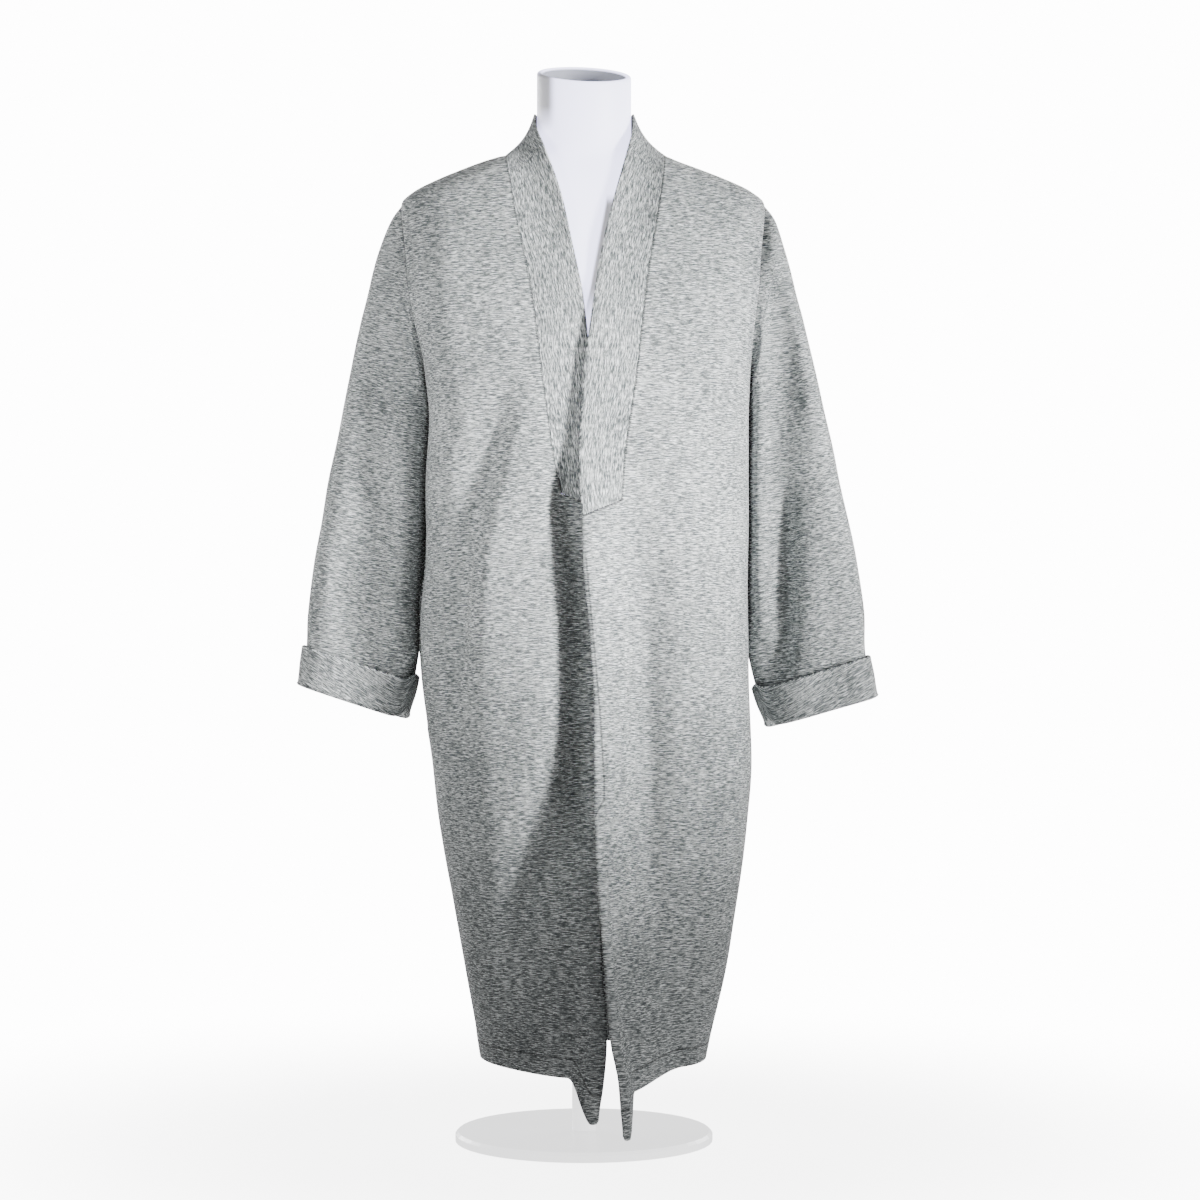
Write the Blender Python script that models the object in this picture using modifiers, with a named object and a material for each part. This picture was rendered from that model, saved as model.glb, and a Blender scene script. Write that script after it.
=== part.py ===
"""Long open-front coat in heather sweatshirt knit, hung on a limbless dress form.

The frame has +Z up, with its origin on the floor under the middle of the stand. The coat's
front faces -Y, so the wearer's left is +X. Sizes are in millimetres and are turned to metres
where a mesh is made.

The body of the coat is one surface of horizontal sections, cut into a back and two fronts at
the side and shoulder seams. An oval armhole is cut out of it on each side, and the sleeve
starts on that same oval. A wide band runs from the centre back round the neck and down each
front's neckline. Neighbouring pieces share the points of their seam, a seam's gap apart.
"""

import math
from collections import namedtuple

import bmesh
import bpy
import numpy as np

METRES = 0.001

# The cloth, and the gap that every pair of neighbours keeps.
KNIT_THICKNESS = 2.2
BAND_THICKNESS = 2.6
GAP = 0.3
END_SEAM_GAP = 0.4

# Heights above the floor.
HEM_HEIGHT = 90.0
UNDERARM_HEIGHT = 785.0
SHOULDER_HEIGHT = 980.0
NECK_HEIGHT = 1030.0
COLLAR_HEIGHT = 1076.0

# How square the sections are: the fronts hang flatter than the back.
SECTION_POWER = {"front": 2.9, "back": 2.25}
ARMHOLE_DEPTH = 48.0
ARMHOLE_STEPS = 9
ARCH_OUT = 0.2
ARCH_POWER = 3
# The step for a surface's direction, and how far below a point the middle it faces away from is.
NORMAL_STEP = 2.0
CENTRE_DROP = 60.0

# One row for each height: half widths to the wearer's right and left, depths to front and back.
Level = namedtuple("Level", "height right left front back")
BODY_LEVELS = (
    Level(1030, 83, 86, 54, 60),
    Level(1024, 105, 99, 57, 68),
    Level(1014, 132, 126, 62, 78),
    Level(1004, 156, 151, 67, 85),
    Level(992, 179, 176, 72, 91),
    Level(980, 191, 189, 77, 96),
    Level(950, 192, 191, 90, 104),
    Level(904, 190, 189, 105, 110),
    Level(855, 180, 182, 117, 112),
    Level(813, 167, 176, 121, 111),
    Level(755, 160, 172, 122, 108),
    Level(692, 164, 172, 121, 105),
    Level(608, 167, 171.5, 119, 103),
    Level(540, 174, 172, 118, 106),
    Level(494, 172, 172.5, 117, 108),
    Level(398, 159, 175, 115, 107),
    Level(335, 152, 171, 114, 105),
    Level(212, 130, 154, 112, 102),
    Level(90, 109, 128, 112, 100),
)

# The front edges: the band's seam down to its slanted end, then the free edge to the hem.
# "across" is the distance from the middle towards +X.
Edge = namedtuple("Edge", "height across")
BAND_END = {"right": (674.0, 658.0), "left": (666.0, 650.0)}
BAND_SEAM = {
    "right": (
        Edge(1030, -82),
        Edge(999, -76),
        Edge(962, -70),
        Edge(917, -60),
        Edge(866, -51),
        Edge(788, -41),
        Edge(722, -32),
        Edge(674, -23),
    ),
    "left": (
        Edge(1030, 85),
        Edge(999, 82),
        Edge(953, 75),
        Edge(904, 67),
        Edge(855, 61),
        Edge(793, 54),
        Edge(709, 42),
        Edge(666, 39),
    ),
}
FREE_EDGE = {
    "right": (
        Edge(658, 17),
        Edge(610, 26),
        Edge(520, 31),
        Edge(350, 31),
        Edge(290, 19),
        Edge(245, 17),
        Edge(202, 18),
        Edge(145, 23),
        Edge(90, 15),
    ),
    "left": (
        Edge(650, 0),
        Edge(606, 1),
        Edge(530, 8),
        Edge(452, 12),
        Edge(375, 12),
        Edge(323, 13),
        Edge(272, 16),
        Edge(205, 22),
        Edge(145, 27),
        Edge(90, 40),
    ),
}

# The band's free edge, for each height on its seam: how far across, how deep, how much higher.
Rim = namedtuple("Rim", "height across depth rise")
BAND_RIM = {
    "right": (
        Rim(1030, -52.5, -2, 46),
        Rim(1014, -49, -30, 42),
        Rim(999, -41, -54, 35),
        Rim(962, -24, -78, 22),
        Rim(917, -12, -99, 12),
        Rim(866, -1, -114, 8),
        Rim(788, 7, -119, 4),
        Rim(722, 12, -117, -4),
        Rim(674, 17, -114, -16),
    ),
    "left": (
        Rim(1030, 52.5, -2, 46),
        Rim(1014, 51, -30, 40),
        Rim(999, 46, -52, 33),
        Rim(953, 30, -84, 18),
        Rim(904, 18, -108, 11),
        Rim(855, 10, -122, 7),
        Rim(793, 2, -128, 4),
        Rim(709, -3, -129, -2),
        Rim(666, 0, -127, -16),
    ),
}
COLLAR_HALF_WIDTH = 52.5
COLLAR_MIDDLE = -2.0
COLLAR_BACK = 60.0
BAND_FREE_ABOVE = 960.0
BAND_LIES_BELOW = 880.0
BAND_HOLLOW = 5.0
BAND_LEAN = 10.0
BACK_NECK_STEPS = 6

# Near its free edge a front leaves the section: "lift" carries it forward of it (or, when
# negative, lets it sink back under the other front), and "drop" lowers it. "keel" and "dip"
# do the same for the last few millimetres only, where the hem's corner swings forward.
Lift = namedtuple("Lift", "height lift drop keel dip")
EDGE_LIFT = {
    "right": (
        Lift(1030, 0, 0, 0, 0),
        Lift(866, -1, 0, 0, 0),
        Lift(722, -5, 0, 0, 0),
        Lift(600, -14, 0, 0, 0),
        Lift(480, -14, 0, 0, 0),
        Lift(350, -4, 0, 0, 0),
        Lift(250, 14, 0, 4, 0),
        Lift(170, 27, 2, 12, 9),
        Lift(90, 32, 3, 22, 42),
    ),
    "left": (
        Lift(1030, 0, 0, 0, 0),
        Lift(866, 5, 0, 0, 0),
        Lift(722, 9, 0, 0, 0),
        Lift(600, 10, 0, 0, 0),
        Lift(480, 9, 0, 0, 0),
        Lift(350, 12, 0, 0, 0),
        Lift(250, 22, 1, 6, 0),
        Lift(170, 30, 7, 14, 8),
        Lift(90, 34, 17, 26, 42),
    ),
}
LIFT_WIDTH = 62.0
KEEL_WIDTH = {"right": 32.0, "left": 12.0}

FOLD_END_POWER = 0.7

# Soft folds of the body: a line from its top to its bottom, its width and its height (a
# trough is negative). "face" is -1 on the fronts and +1 on the back.
Fold = namedtuple("Fold", "face top_across top bottom_across bottom width height")
BODY_FOLDS = (
    Fold(-1, -80, 800, -135, 500, 15, -4.5),
    Fold(-1, -60, 760, -100, 480, 13, 2.5),
    Fold(-1, -118, 700, -152, 440, 10, 2.0),
    Fold(-1, -98, 420, -82, 150, 22, 2.5),
    Fold(-1, 63, 660, 76, 250, 17, -3.5),
    Fold(-1, 43, 650, 40, 330, 8, 1.6),
    Fold(-1, 122, 560, 128, 330, 9, -1.6),
    Fold(-1, 104, 330, 92, 110, 18, -2.5),
    Fold(1, -88, 850, -70, 120, 26, -6.0),
    Fold(1, -30, 700, -18, 100, 24, 4.5),
    Fold(1, 52, 880, 46, 130, 26, -6.0),
    Fold(1, 108, 760, 92, 110, 20, 4.5),
)

# The sleeve's stations after the armhole: its outer and inner line as distances from the
# middle and heights, the middle and half of its depth, and how square its section is.
Station = namedtuple("Station", "outer outer_height inner inner_height middle depth power")
SLEEVE = {
    "right": (
        Station(203, 963, 164.4, 783.5, 4, 51, 2.2),
        Station(216, 930, 163.4, 780, 11, 55, 2.2),
        Station(227, 891, 162.4, 776, 18, 58, 2.2),
        Station(238, 845, 161.2, 770, 23, 60, 2.2),
        Station(247, 804, 159.8, 759, 27, 61, 2.2),
        Station(256, 757, 160, 730, 29, 61, 2.2),
        Station(271, 682, 165, 653, 30, 59, 2.2),
        Station(285, 604, 170, 574, 30, 56, 2.3),
        Station(291, 549, 174, 517, 28, 52, 2.5),
        Station(292, 519, 179, 484, 25, 48, 2.8),
        Station(299, 480, 187, 443, 22, 45, 3.0),
    ),
    "left": (
        Station(200, 963, 174.9, 783.5, 4, 51, 2.2),
        Station(211, 930, 174.4, 780, 11, 55, 2.2),
        Station(223, 888, 173.6, 776, 18, 58, 2.2),
        Station(236, 840, 172.8, 770, 23, 60, 2.2),
        Station(247, 796, 171.8, 759, 27, 61, 2.2),
        Station(256, 754, 171.3, 730, 29, 61, 2.2),
        Station(271.5, 681, 171, 653, 30, 59, 2.2),
        Station(287, 607, 171, 574, 30, 56, 2.3),
        Station(295, 556, 172.5, 522, 28, 52, 2.5),
        Station(296, 511, 181, 475, 25, 48, 2.8),
        Station(306, 468, 193, 434, 22, 45, 3.0),
    ),
}
# How much of the armhole's own shape the first rings keep, and from which station on there is
# one more ring between each two.
SLEEVE_HEAD_KEEPS = (0.45, 0.15)
DENSE_FROM_STATION = 5
CUFF_STEPS = 3
CUFF_CLEARANCE = 0.5
CUFF_FLARE = 2.2

# The dress form: sections of the torso, with the neck as an open tube cut on a slope.
FORM_LEVELS = (
    Level(400, 118, 118, 70, 74),
    Level(404, 138, 138, 84, 86),
    Level(414, 148, 148, 90, 92),
    Level(470, 154, 154, 94, 96),
    Level(540, 150, 150, 90, 92),
    Level(600, 136, 136, 84, 82),
    Level(655, 126, 126, 82, 76),
    Level(720, 132, 132, 90, 82),
    Level(790, 148, 148, 106, 94),
    Level(840, 154, 154, 109, 100),
    Level(890, 160, 160, 98, 102),
    Level(940, 168, 168, 80, 98),
)
FORM_SHOULDER_LOW = 962.0
FORM_SHOULDER_TOP = 1022.0
FORM_SHOULDER_STEPS = 8
FORM_HALF_WIDTH = 176.0
FORM_DROP = 3.4
FORM_DEPTH_LESS = 9.0
FORM_POINTS = 28
NECK_RADIUS = 49.5
NECK_DEPTH = 50.0
NECK_TOP = 1119.5
NECK_SLOPE = 0.30
NECK_WALL = 5.5
NECK_HOLE_DEPTH = 62.0
NECK_ROOT = (
    Level(1027, 72, 72, 49, 56),
    Level(1034, 58, 58, 49, 53),
)
# The neck's rings, up its outside, over the rounded rim and down to the bottom of its hole.
NeckRing = namedtuple("NeckRing", "inside height slope")
NECK_RINGS = (
    NeckRing(0.0, 1046.0, 0.0),
    NeckRing(0.0, 1072.0, 0.12),
    NeckRing(0.0, NECK_TOP - 14.0, NECK_SLOPE),
    NeckRing(0.0, NECK_TOP - 2.5, NECK_SLOPE),
    NeckRing(1.6, NECK_TOP, NECK_SLOPE),
    NeckRing(NECK_WALL - 1.6, NECK_TOP, NECK_SLOPE),
    NeckRing(NECK_WALL, NECK_TOP - 2.5, NECK_SLOPE),
    NeckRing(NECK_WALL, NECK_TOP - NECK_HOLE_DEPTH, 0.0),
)

POST_RADIUS = 12.5
POST_FLANGE_RADIUS = 40.0
POST_FLANGE_THICKNESS = 6.0
BASE_RADIUS = 135.0
BASE_THICKNESS = 10.0
BASE_EDGE = 3.0

KNIT_GREY = (0.42, 0.44, 0.44, 1.0)
FORM_WHITE = (0.83, 0.83, 0.88, 1.0)
STAND_WHITE = (0.86, 0.86, 0.87, 1.0)


def smooth(rows, column, at):
    """A column of a table at one height, on a cubic that never overshoots its rows."""
    ordered = sorted(rows, key=lambda row: row[0])
    heights = np.array([row[0] for row in ordered], float)
    values = np.array([getattr(row, column) for row in ordered], float)
    at = min(max(at, heights[0]), heights[-1])
    i = min(int(np.searchsorted(heights, at, side="right")) - 1, len(heights) - 2)
    slopes = np.diff(values) / np.diff(heights)

    def tangent(k):
        if k in (0, len(heights) - 1):
            return slopes[min(k, len(slopes) - 1)]
        before, after = slopes[k - 1], slopes[k]
        if before * after <= 0:
            return 0.0
        return 2 * before * after / (before + after)

    span = heights[i + 1] - heights[i]
    t = (at - heights[i]) / span
    rise = (3 - 2 * t) * t * t
    start = t * (1 - t) ** 2 * tangent(i) * span
    end = -t * t * (1 - t) * tangent(i + 1) * span
    return values[i] + (values[i + 1] - values[i]) * rise + start + end


def signed_power(value, power):
    """value to a power, with its sign kept."""
    return math.copysign(abs(value) ** power, value)


def soft_step(value):
    """0 below 0, 1 above 1, and a smooth rise between."""
    value = min(max(value, 0.0), 1.0)
    return value * value * (3 - 2 * value)


def unit(vector):
    return vector / np.linalg.norm(vector)


def side_sign(side):
    """+1 on the wearer's left, which is +X, and -1 on the right."""
    return 1.0 if side == "left" else -1.0


def section_point(side, turn, height):
    """A point of the body at a height. turn is 0 at the side seam, 90 at the front's middle
    and -90 at the back's middle."""
    half = "front" if turn > 0 else "back"
    width = smooth(BODY_LEVELS, side, height)
    depth = smooth(BODY_LEVELS, half, height)
    angle = math.radians(turn)
    x = side_sign(side) * width * signed_power(math.cos(angle), 2 / SECTION_POWER[half])
    y = -depth * signed_power(math.sin(angle), 2 / SECTION_POWER[half])
    return np.array([x, y, height])


def turn_at(side, across, height):
    """The turn at which the body's front section is this far across."""
    width = smooth(BODY_LEVELS, side, height)
    share = min(max(side_sign(side) * across / width, -1.0), 1.0)
    return math.degrees(math.acos(signed_power(share, SECTION_POWER["front"] / 2)))


def armhole_turn(side, face, height):
    """Where a panel starts at a height: at the side seam, or at the armhole's edge."""
    middle = (SHOULDER_HEIGHT + UNDERARM_HEIGHT) / 2
    half = (SHOULDER_HEIGHT - UNDERARM_HEIGHT) / 2
    share = (height - middle) / half
    if abs(share) >= 1:
        return 0.0
    half_name = "front" if face < 0 else "back"
    out = ARMHOLE_DEPTH * math.sqrt(1 - share * share) / smooth(BODY_LEVELS, half_name, height)
    return -face * math.degrees(math.asin(out ** (SECTION_POWER[half_name] / 2)))


def fold_height(face, across, height):
    """How far the folds carry the surface out at a point."""
    total = 0.0
    for fold in BODY_FOLDS:
        if fold.face != face:
            continue
        share = (fold.top - height) / (fold.top - fold.bottom)
        if not 0 < share < 1:
            continue
        line = fold.top_across + (fold.bottom_across - fold.top_across) * share
        ends = math.sin(math.pi * share) ** FOLD_END_POWER
        total += fold.height * ends * math.exp(-(((across - line) / fold.width) ** 2))
    return total


def edge_across(side, height):
    """How far across a front panel reaches at a height."""
    corner, end = BAND_END[side]
    if height >= corner:
        return smooth(BAND_SEAM[side], "across", height)
    if height <= end:
        return smooth(FREE_EDGE[side], "across", height)
    seam = smooth(BAND_SEAM[side], "across", corner)
    free = smooth(FREE_EDGE[side], "across", end)
    return seam + (free - seam) * (corner - height) / (corner - end)


def edge_lift(side, across, height):
    """How far a front is carried forward and lowered at a point, by its swung free edge."""
    rows = EDGE_LIFT[side]
    free = smooth(FREE_EDGE[side], "across", min(height, BAND_END[side][1]))
    inside = side_sign(side) * (across - free)
    wide = soft_step(1 - max(inside, 0.0) / LIFT_WIDTH)
    keel = max(1 - inside / KEEL_WIDTH[side], 0.0)
    forward = smooth(rows, "lift", height) * wide + smooth(rows, "keel", height) * keel
    lower = smooth(rows, "drop", height) * wide + smooth(rows, "dip", height) * keel
    return forward, lower


def body_point(side, face, turn, height):
    """A point of the coat's outer surface, with its folds and its swung front edges."""
    point = section_point(side, turn, height)
    near = section_point(side, turn + 0.5, height)
    along = unit(near - section_point(side, turn - 0.5, height))
    outward = np.array([along[1], -along[0], 0.0])
    if outward @ np.array([point[0], point[1], 0.0]) < 0:
        outward = -outward
    point = point + outward * fold_height(face, point[0], height)
    if face < 0:
        forward, lower = edge_lift(side, point[0], height)
        point[1] -= forward
        point[2] -= lower
    return point


def body_normal(side, face, turn, height):
    """The outward direction of the surface at a point, for the wall's inner side."""
    low = max(height - NORMAL_STEP, HEM_HEIGHT)
    high = min(height + NORMAL_STEP, NECK_HEIGHT)
    up = body_point(side, face, turn, high) - body_point(side, face, turn, low)
    if turn == 0:
        across = np.array([0.0, 1.0, 0.0])
    else:
        across = body_point(side, face, turn + 1, height) - body_point(side, face, turn - 1, height)
    normal = unit(np.cross(across, up))
    centre = np.array([0.0, 0.0, height - CENTRE_DROP])
    if normal @ (body_point(side, face, turn, height) - centre) < 0:
        normal = -normal
    return normal


def armhole_normal(side, face, height):
    """The wall's direction along the armhole, which turns down under the arm, where the cloth
    arches over from the body to the sleeve."""
    turn = armhole_turn(side, face, height)
    outward = body_normal(side, face, turn, height)
    low = (SHOULDER_HEIGHT - height) / (SHOULDER_HEIGHT - UNDERARM_HEIGHT)
    arch = np.array([ARCH_OUT * side_sign(side), 0.0, -1.0])
    return unit(outward + (arch - outward) * low**ARCH_POWER)


def panel_heights():
    """Every row of the body's panels, from the hem to the neck, shared by all three."""
    lower = list(np.linspace(HEM_HEIGHT, 300, 8))
    middle = list(np.linspace(342, 608, 8))
    band_end = [634, 650, 658, 666, 674, 700, 730, 760]
    steps = np.linspace(math.pi, 0, ARMHOLE_STEPS + 1)
    centre = (SHOULDER_HEIGHT + UNDERARM_HEIGHT) / 2
    half = (SHOULDER_HEIGHT - UNDERARM_HEIGHT) / 2
    armhole = [centre + half * math.cos(step) for step in steps]
    shoulder = [992, 1004, 1014, 1022, NECK_HEIGHT - GAP]
    return lower + middle + band_end + armhole + shoulder


def front_grid(side):
    """Outer and inner points of a front: rows from hem to shoulder, from side to front edge."""
    shares = [0, 0.1, 0.2, 0.31, 0.42, 0.53, 0.63, 0.72, 0.8, 0.87, 0.93, 0.97, 1]
    outer, inner = [], []
    for height in panel_heights():
        first = armhole_turn(side, -1, height)
        seam = height >= BAND_END[side][1]
        across = edge_across(side, height) + (side_sign(side) * GAP / 2 if seam else 0)
        last = turn_at(side, across, height)
        turns = [first + (last - first) * share for share in shares]
        points = [body_point(side, -1, turn, height) for turn in turns]
        normals = [body_normal(side, -1, turn, height) for turn in turns]
        if UNDERARM_HEIGHT <= height <= SHOULDER_HEIGHT:
            normals[0] = armhole_normal(side, -1, height)
        if first == 0:
            points[0][1] -= GAP / 2
        outer.append(points)
        inner.append([p - KNIT_THICKNESS * n for p, n in zip(points, normals)])
    return np.array(outer), np.array(inner)


def back_grid():
    """Outer and inner points of the back, from the right side seam to the left one."""
    steps = 10
    outer, inner = [], []
    for height in panel_heights():
        points, normals = [], []
        for side, order in (("right", 1), ("left", -1)):
            first = armhole_turn(side, 1, height)
            turns = [first + (-90 - first) * i / steps for i in range(steps + (side == "right"))]
            for turn in turns[::order]:
                points.append(body_point(side, 1, turn, height))
                normals.append(body_normal(side, 1, turn, height))
                if turn == first and UNDERARM_HEIGHT <= height <= SHOULDER_HEIGHT:
                    normals[-1] = armhole_normal(side, 1, height)
                if turn == 0:
                    points[-1][1] += GAP / 2
        outer.append(points)
        inner.append([p - KNIT_THICKNESS * n for p, n in zip(points, normals)])
    return np.array(outer), np.array(inner)


def lying(side, share, point, outward):
    """A point of the band, some share of its width from the seam, and its outward direction.
    It is hollow round the neck, and is carried onto the front where the band lies on the chest."""
    lies = soft_step((BAND_FREE_ABOVE - point[2]) / (BAND_FREE_ABOVE - BAND_LIES_BELOW))
    hollow = BAND_HOLLOW * math.sin(math.pi * share) * (1 - lies)
    point = point - outward * hollow
    if lies == 0 or share == 0:
        return point, outward
    turn = turn_at(side, point[0], point[2])
    depth = body_point(side, -1, turn, point[2])[1]
    flat = body_normal(side, -1, turn, point[2])
    lain = np.array([point[0], point[1] + (depth - point[1]) * lies, point[2]])
    return lain, unit(outward + (flat - outward) * lies)


def band_rows(side):
    """The band's seam points with their outward directions, and its free edge, from the
    centre back to its slanted end."""
    sign = side_sign(side)
    rows = []
    for turn in np.linspace(-90, -12, BACK_NECK_STEPS):
        seam = section_point(side, turn, NECK_HEIGHT)
        outward = unit(np.array([seam[0], seam[1], BAND_LEAN]))
        angle = math.radians(turn)
        across = sign * COLLAR_HALF_WIDTH * math.cos(angle)
        depth = COLLAR_MIDDLE - (COLLAR_BACK - COLLAR_MIDDLE) * math.sin(angle)
        rim = np.array([across, depth, COLLAR_HEIGHT])
        rows.append((seam, outward, rim))
    rows[0][0][0] = rows[0][2][0] = sign * GAP / 2
    corner = BAND_END[side][0]
    for height in [h for h in reversed(panel_heights()) if h >= corner]:
        across = edge_across(side, height) - sign * GAP / 2
        turn = turn_at(side, across, height)
        seam = body_point(side, -1, turn, height)
        outward = body_normal(side, -1, turn, height)
        rim = np.array([
            smooth(BAND_RIM[side], "across", height),
            smooth(BAND_RIM[side], "depth", height),
            height + smooth(BAND_RIM[side], "rise", height),
        ])
        if height == corner:
            seam[2] += END_SEAM_GAP
            rim[2] += END_SEAM_GAP
        rows.append((seam, outward, rim))
    return rows


def band_grid(side):
    """Outer and inner points of a band, from its seam to its free edge."""
    shares = np.linspace(0, 1, 5)
    rows = band_rows(side)
    outer = np.array([[seam + (rim - seam) * share for share in shares] for seam, _, rim in rows])
    inner = np.empty_like(outer)
    for i, (_, seam_outward, _) in enumerate(rows):
        along = outer[min(i + 1, len(rows) - 1), -1] - outer[max(i - 1, 0), -1]
        face = np.cross(along, outer[i, -1] - outer[i, 0])
        if i == 0:
            face[0] = 0.0
        face = unit(face) * math.copysign(1.0, face @ seam_outward)
        for j, share in enumerate(shares):
            outward = unit(seam_outward + (face - seam_outward) * soft_step(share * 2))
            outer[i, j], outward = lying(side, share, outer[i, j], outward)
            inner[i, j] = outer[i, j] - BAND_THICKNESS * outward
    return outer, inner


def armhole_ring(side):
    """The armhole's points, from the shoulder down the front and up the back, with the body's
    outward direction at each."""
    heights = [h for h in panel_heights() if UNDERARM_HEIGHT <= h <= SHOULDER_HEIGHT]
    down, up = heights[::-1], heights[1:-1]
    points, normals = [], []
    for face, column in ((-1, down), (1, up)):
        for height in column:
            turn = armhole_turn(side, face, height)
            points.append(body_point(side, face, turn, height))
            normals.append(armhole_normal(side, face, height))
    return np.array(points), np.array(normals)


def sleeve_ring(side, station):
    """The ring of a station, its points in step with the armhole's."""
    sign = side_sign(side)
    outer = np.array([sign * station.outer, 0.0, station.outer_height])
    inner = np.array([sign * station.inner, 0.0, station.inner_height])
    middle = (outer + inner) / 2 + np.array([0.0, station.middle, 0.0])
    count = 2 * ARMHOLE_STEPS
    ring = []
    for i in range(count):
        angle = 2 * math.pi * i / count
        along = signed_power(math.cos(angle), 2 / station.power)
        deep = signed_power(math.sin(angle), 2 / station.power)
        ring.append(middle + (outer - inner) / 2 * along - np.array([0, station.depth * deep, 0]))
    return np.array(ring)


def sleeve_stations(side):
    """The stations, with one more between each two of the lower ones."""
    rows = SLEEVE[side]
    every = []
    for i, row in enumerate(rows[:-1]):
        every.append(row)
        if i >= DENSE_FROM_STATION:
            every.append(Station(*[(a + b) / 2 for a, b in zip(row, rows[i + 1])]))
    every.append(rows[-1])
    return every


def ring_normals(rings):
    """The outward directions of a tube of rings."""
    around = np.roll(rings, -1, axis=1) - np.roll(rings, 1, axis=1)
    along = np.gradient(rings, axis=0)
    normals = np.cross(around, along)
    normals /= np.linalg.norm(normals, axis=2, keepdims=True)
    out = rings - rings.mean(axis=1, keepdims=True)
    if (normals * out).sum() < 0:
        normals = -normals
    return normals


def sleeve_grid(side):
    """Outer and inner points of a sleeve, from the armhole to its turned-up end."""
    start, outward = armhole_ring(side)
    along = np.roll(start, -1, axis=0) - np.roll(start, 1, axis=0)
    inward = np.cross(outward, along)
    inward /= np.linalg.norm(inward, axis=1, keepdims=True)
    if (inward * (start.mean(axis=0) - start)).sum() < 0:
        inward = -inward
    rings = [start + GAP * inward]
    rings += [sleeve_ring(side, station) for station in sleeve_stations(side)]
    for k, keep in enumerate(SLEEVE_HEAD_KEEPS, start=1):
        shift = rings[k].mean(axis=0) - start.mean(axis=0)
        rings[k] = rings[k] + keep * (start + shift - rings[k])
    rings = np.array(rings)
    normals = ring_normals(rings)
    normals[0] = outward
    return rings, rings - KNIT_THICKNESS * normals


def cuff_grid(side):
    """Outer and inner points of a cuff, which lies on the sleeve's last rings."""
    rings, _ = sleeve_grid(side)
    normals = ring_normals(rings)
    last = rings[-CUFF_STEPS:]
    normals = normals[-CUFF_STEPS:]
    flare = np.linspace(CUFF_FLARE, 0, CUFF_STEPS)[:, None, None]
    inner = last + normals * (CUFF_CLEARANCE + flare)
    return inner + normals * KNIT_THICKNESS, inner


def material(name, colour, roughness):
    made = bpy.data.materials.new(name)
    made.use_nodes = True
    shader = made.node_tree.nodes["Principled BSDF"]
    shader.inputs["Base Color"].default_value = colour
    shader.inputs["Roughness"].default_value = roughness
    return made


def mesh_object(name, points, faces, finish, collection):
    """A closed mesh from points in millimetres, its faces turned outwards."""
    mesh = bpy.data.meshes.new(name)
    mesh.from_pydata([tuple(METRES * float(c) for c in point) for point in points], [], faces)
    solid = bmesh.new()
    solid.from_mesh(mesh)
    bmesh.ops.recalc_face_normals(solid, faces=solid.faces)
    solid.to_mesh(mesh)
    solid.free()
    mesh.materials.append(finish)
    mesh.shade_smooth()
    mesh.set_sharp_from_angle(angle=math.radians(50))
    made = bpy.data.objects.new(name, mesh)
    collection.objects.link(made)
    return made


def wall(name, outer, inner, finish, collection, tube=False):
    """The cloth between an outer and an inner grid of points: both sides, split along the
    same diagonals, and the cut edges between them."""
    rows, columns = outer.shape[:2]
    points = np.concatenate([outer.reshape(-1, 3), inner.reshape(-1, 3)])
    under = rows * columns

    def at(row, column):
        return row * columns + column % columns

    faces = []
    spans = columns if tube else columns - 1
    for row in range(rows - 1):
        for column in range(spans):
            a, b = at(row, column), at(row, column + 1)
            c, d = at(row + 1, column + 1), at(row + 1, column)
            faces += [(a, b, c), (a, c, d)]
            faces += [(c + under, b + under, a + under), (d + under, c + under, a + under)]
    for row in (0, rows - 1):
        for column in range(spans):
            a, b = at(row, column), at(row, column + 1)
            faces.append((a, b, b + under, a + under))
    if not tube:
        for column in (0, columns - 1):
            for row in range(rows - 1):
                a, b = at(row, column), at(row + 1, column)
                faces.append((a, b, b + under, a + under))
    return mesh_object(name, points, faces, finish, collection)


def oval(half_left, half_right, front, back, height, power):
    """A closed ring of the form's points at a height."""
    ring = []
    for i in range(FORM_POINTS):
        angle = 2 * math.pi * i / FORM_POINTS
        x = signed_power(math.cos(angle), 2 / power)
        y = signed_power(math.sin(angle), 2 / power)
        width = half_left if x > 0 else half_right
        depth = back if y > 0 else front
        ring.append((width * x, depth * y, height))
    return np.array(ring)


def neck_ring(radius_less, height, slope):
    """A ring of the neck, its plane tilted so that the front is lower."""
    radius, depth = NECK_RADIUS - radius_less, NECK_DEPTH - radius_less
    ring = oval(radius, radius, depth, depth, height, 2.0)
    ring[:, 2] += slope * ring[:, 1]
    return ring


def form_rings():
    """The rings of the torso, up its outside, over the neck's rim and down into the hole."""
    rings = [
        oval(level.left, level.right, level.front, level.back, level.height, 2.3)
        for level in FORM_LEVELS
    ]
    for height in np.linspace(FORM_SHOULDER_LOW, FORM_SHOULDER_TOP, FORM_SHOULDER_STEPS):
        coat = height + FORM_DROP
        rings.append(oval(
            min(smooth(BODY_LEVELS, "left", coat), FORM_HALF_WIDTH),
            min(smooth(BODY_LEVELS, "right", coat), FORM_HALF_WIDTH),
            smooth(BODY_LEVELS, "front", coat) - FORM_DEPTH_LESS,
            smooth(BODY_LEVELS, "back", coat) - FORM_DEPTH_LESS,
            height,
            SECTION_POWER["back"],
        ))
    for level in NECK_ROOT:
        rings.append(oval(level.left, level.right, level.front, level.back, level.height, 2.0))
    for row in NECK_RINGS:
        rings.append(neck_ring(row.inside, row.height, row.slope))
    return rings


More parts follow.
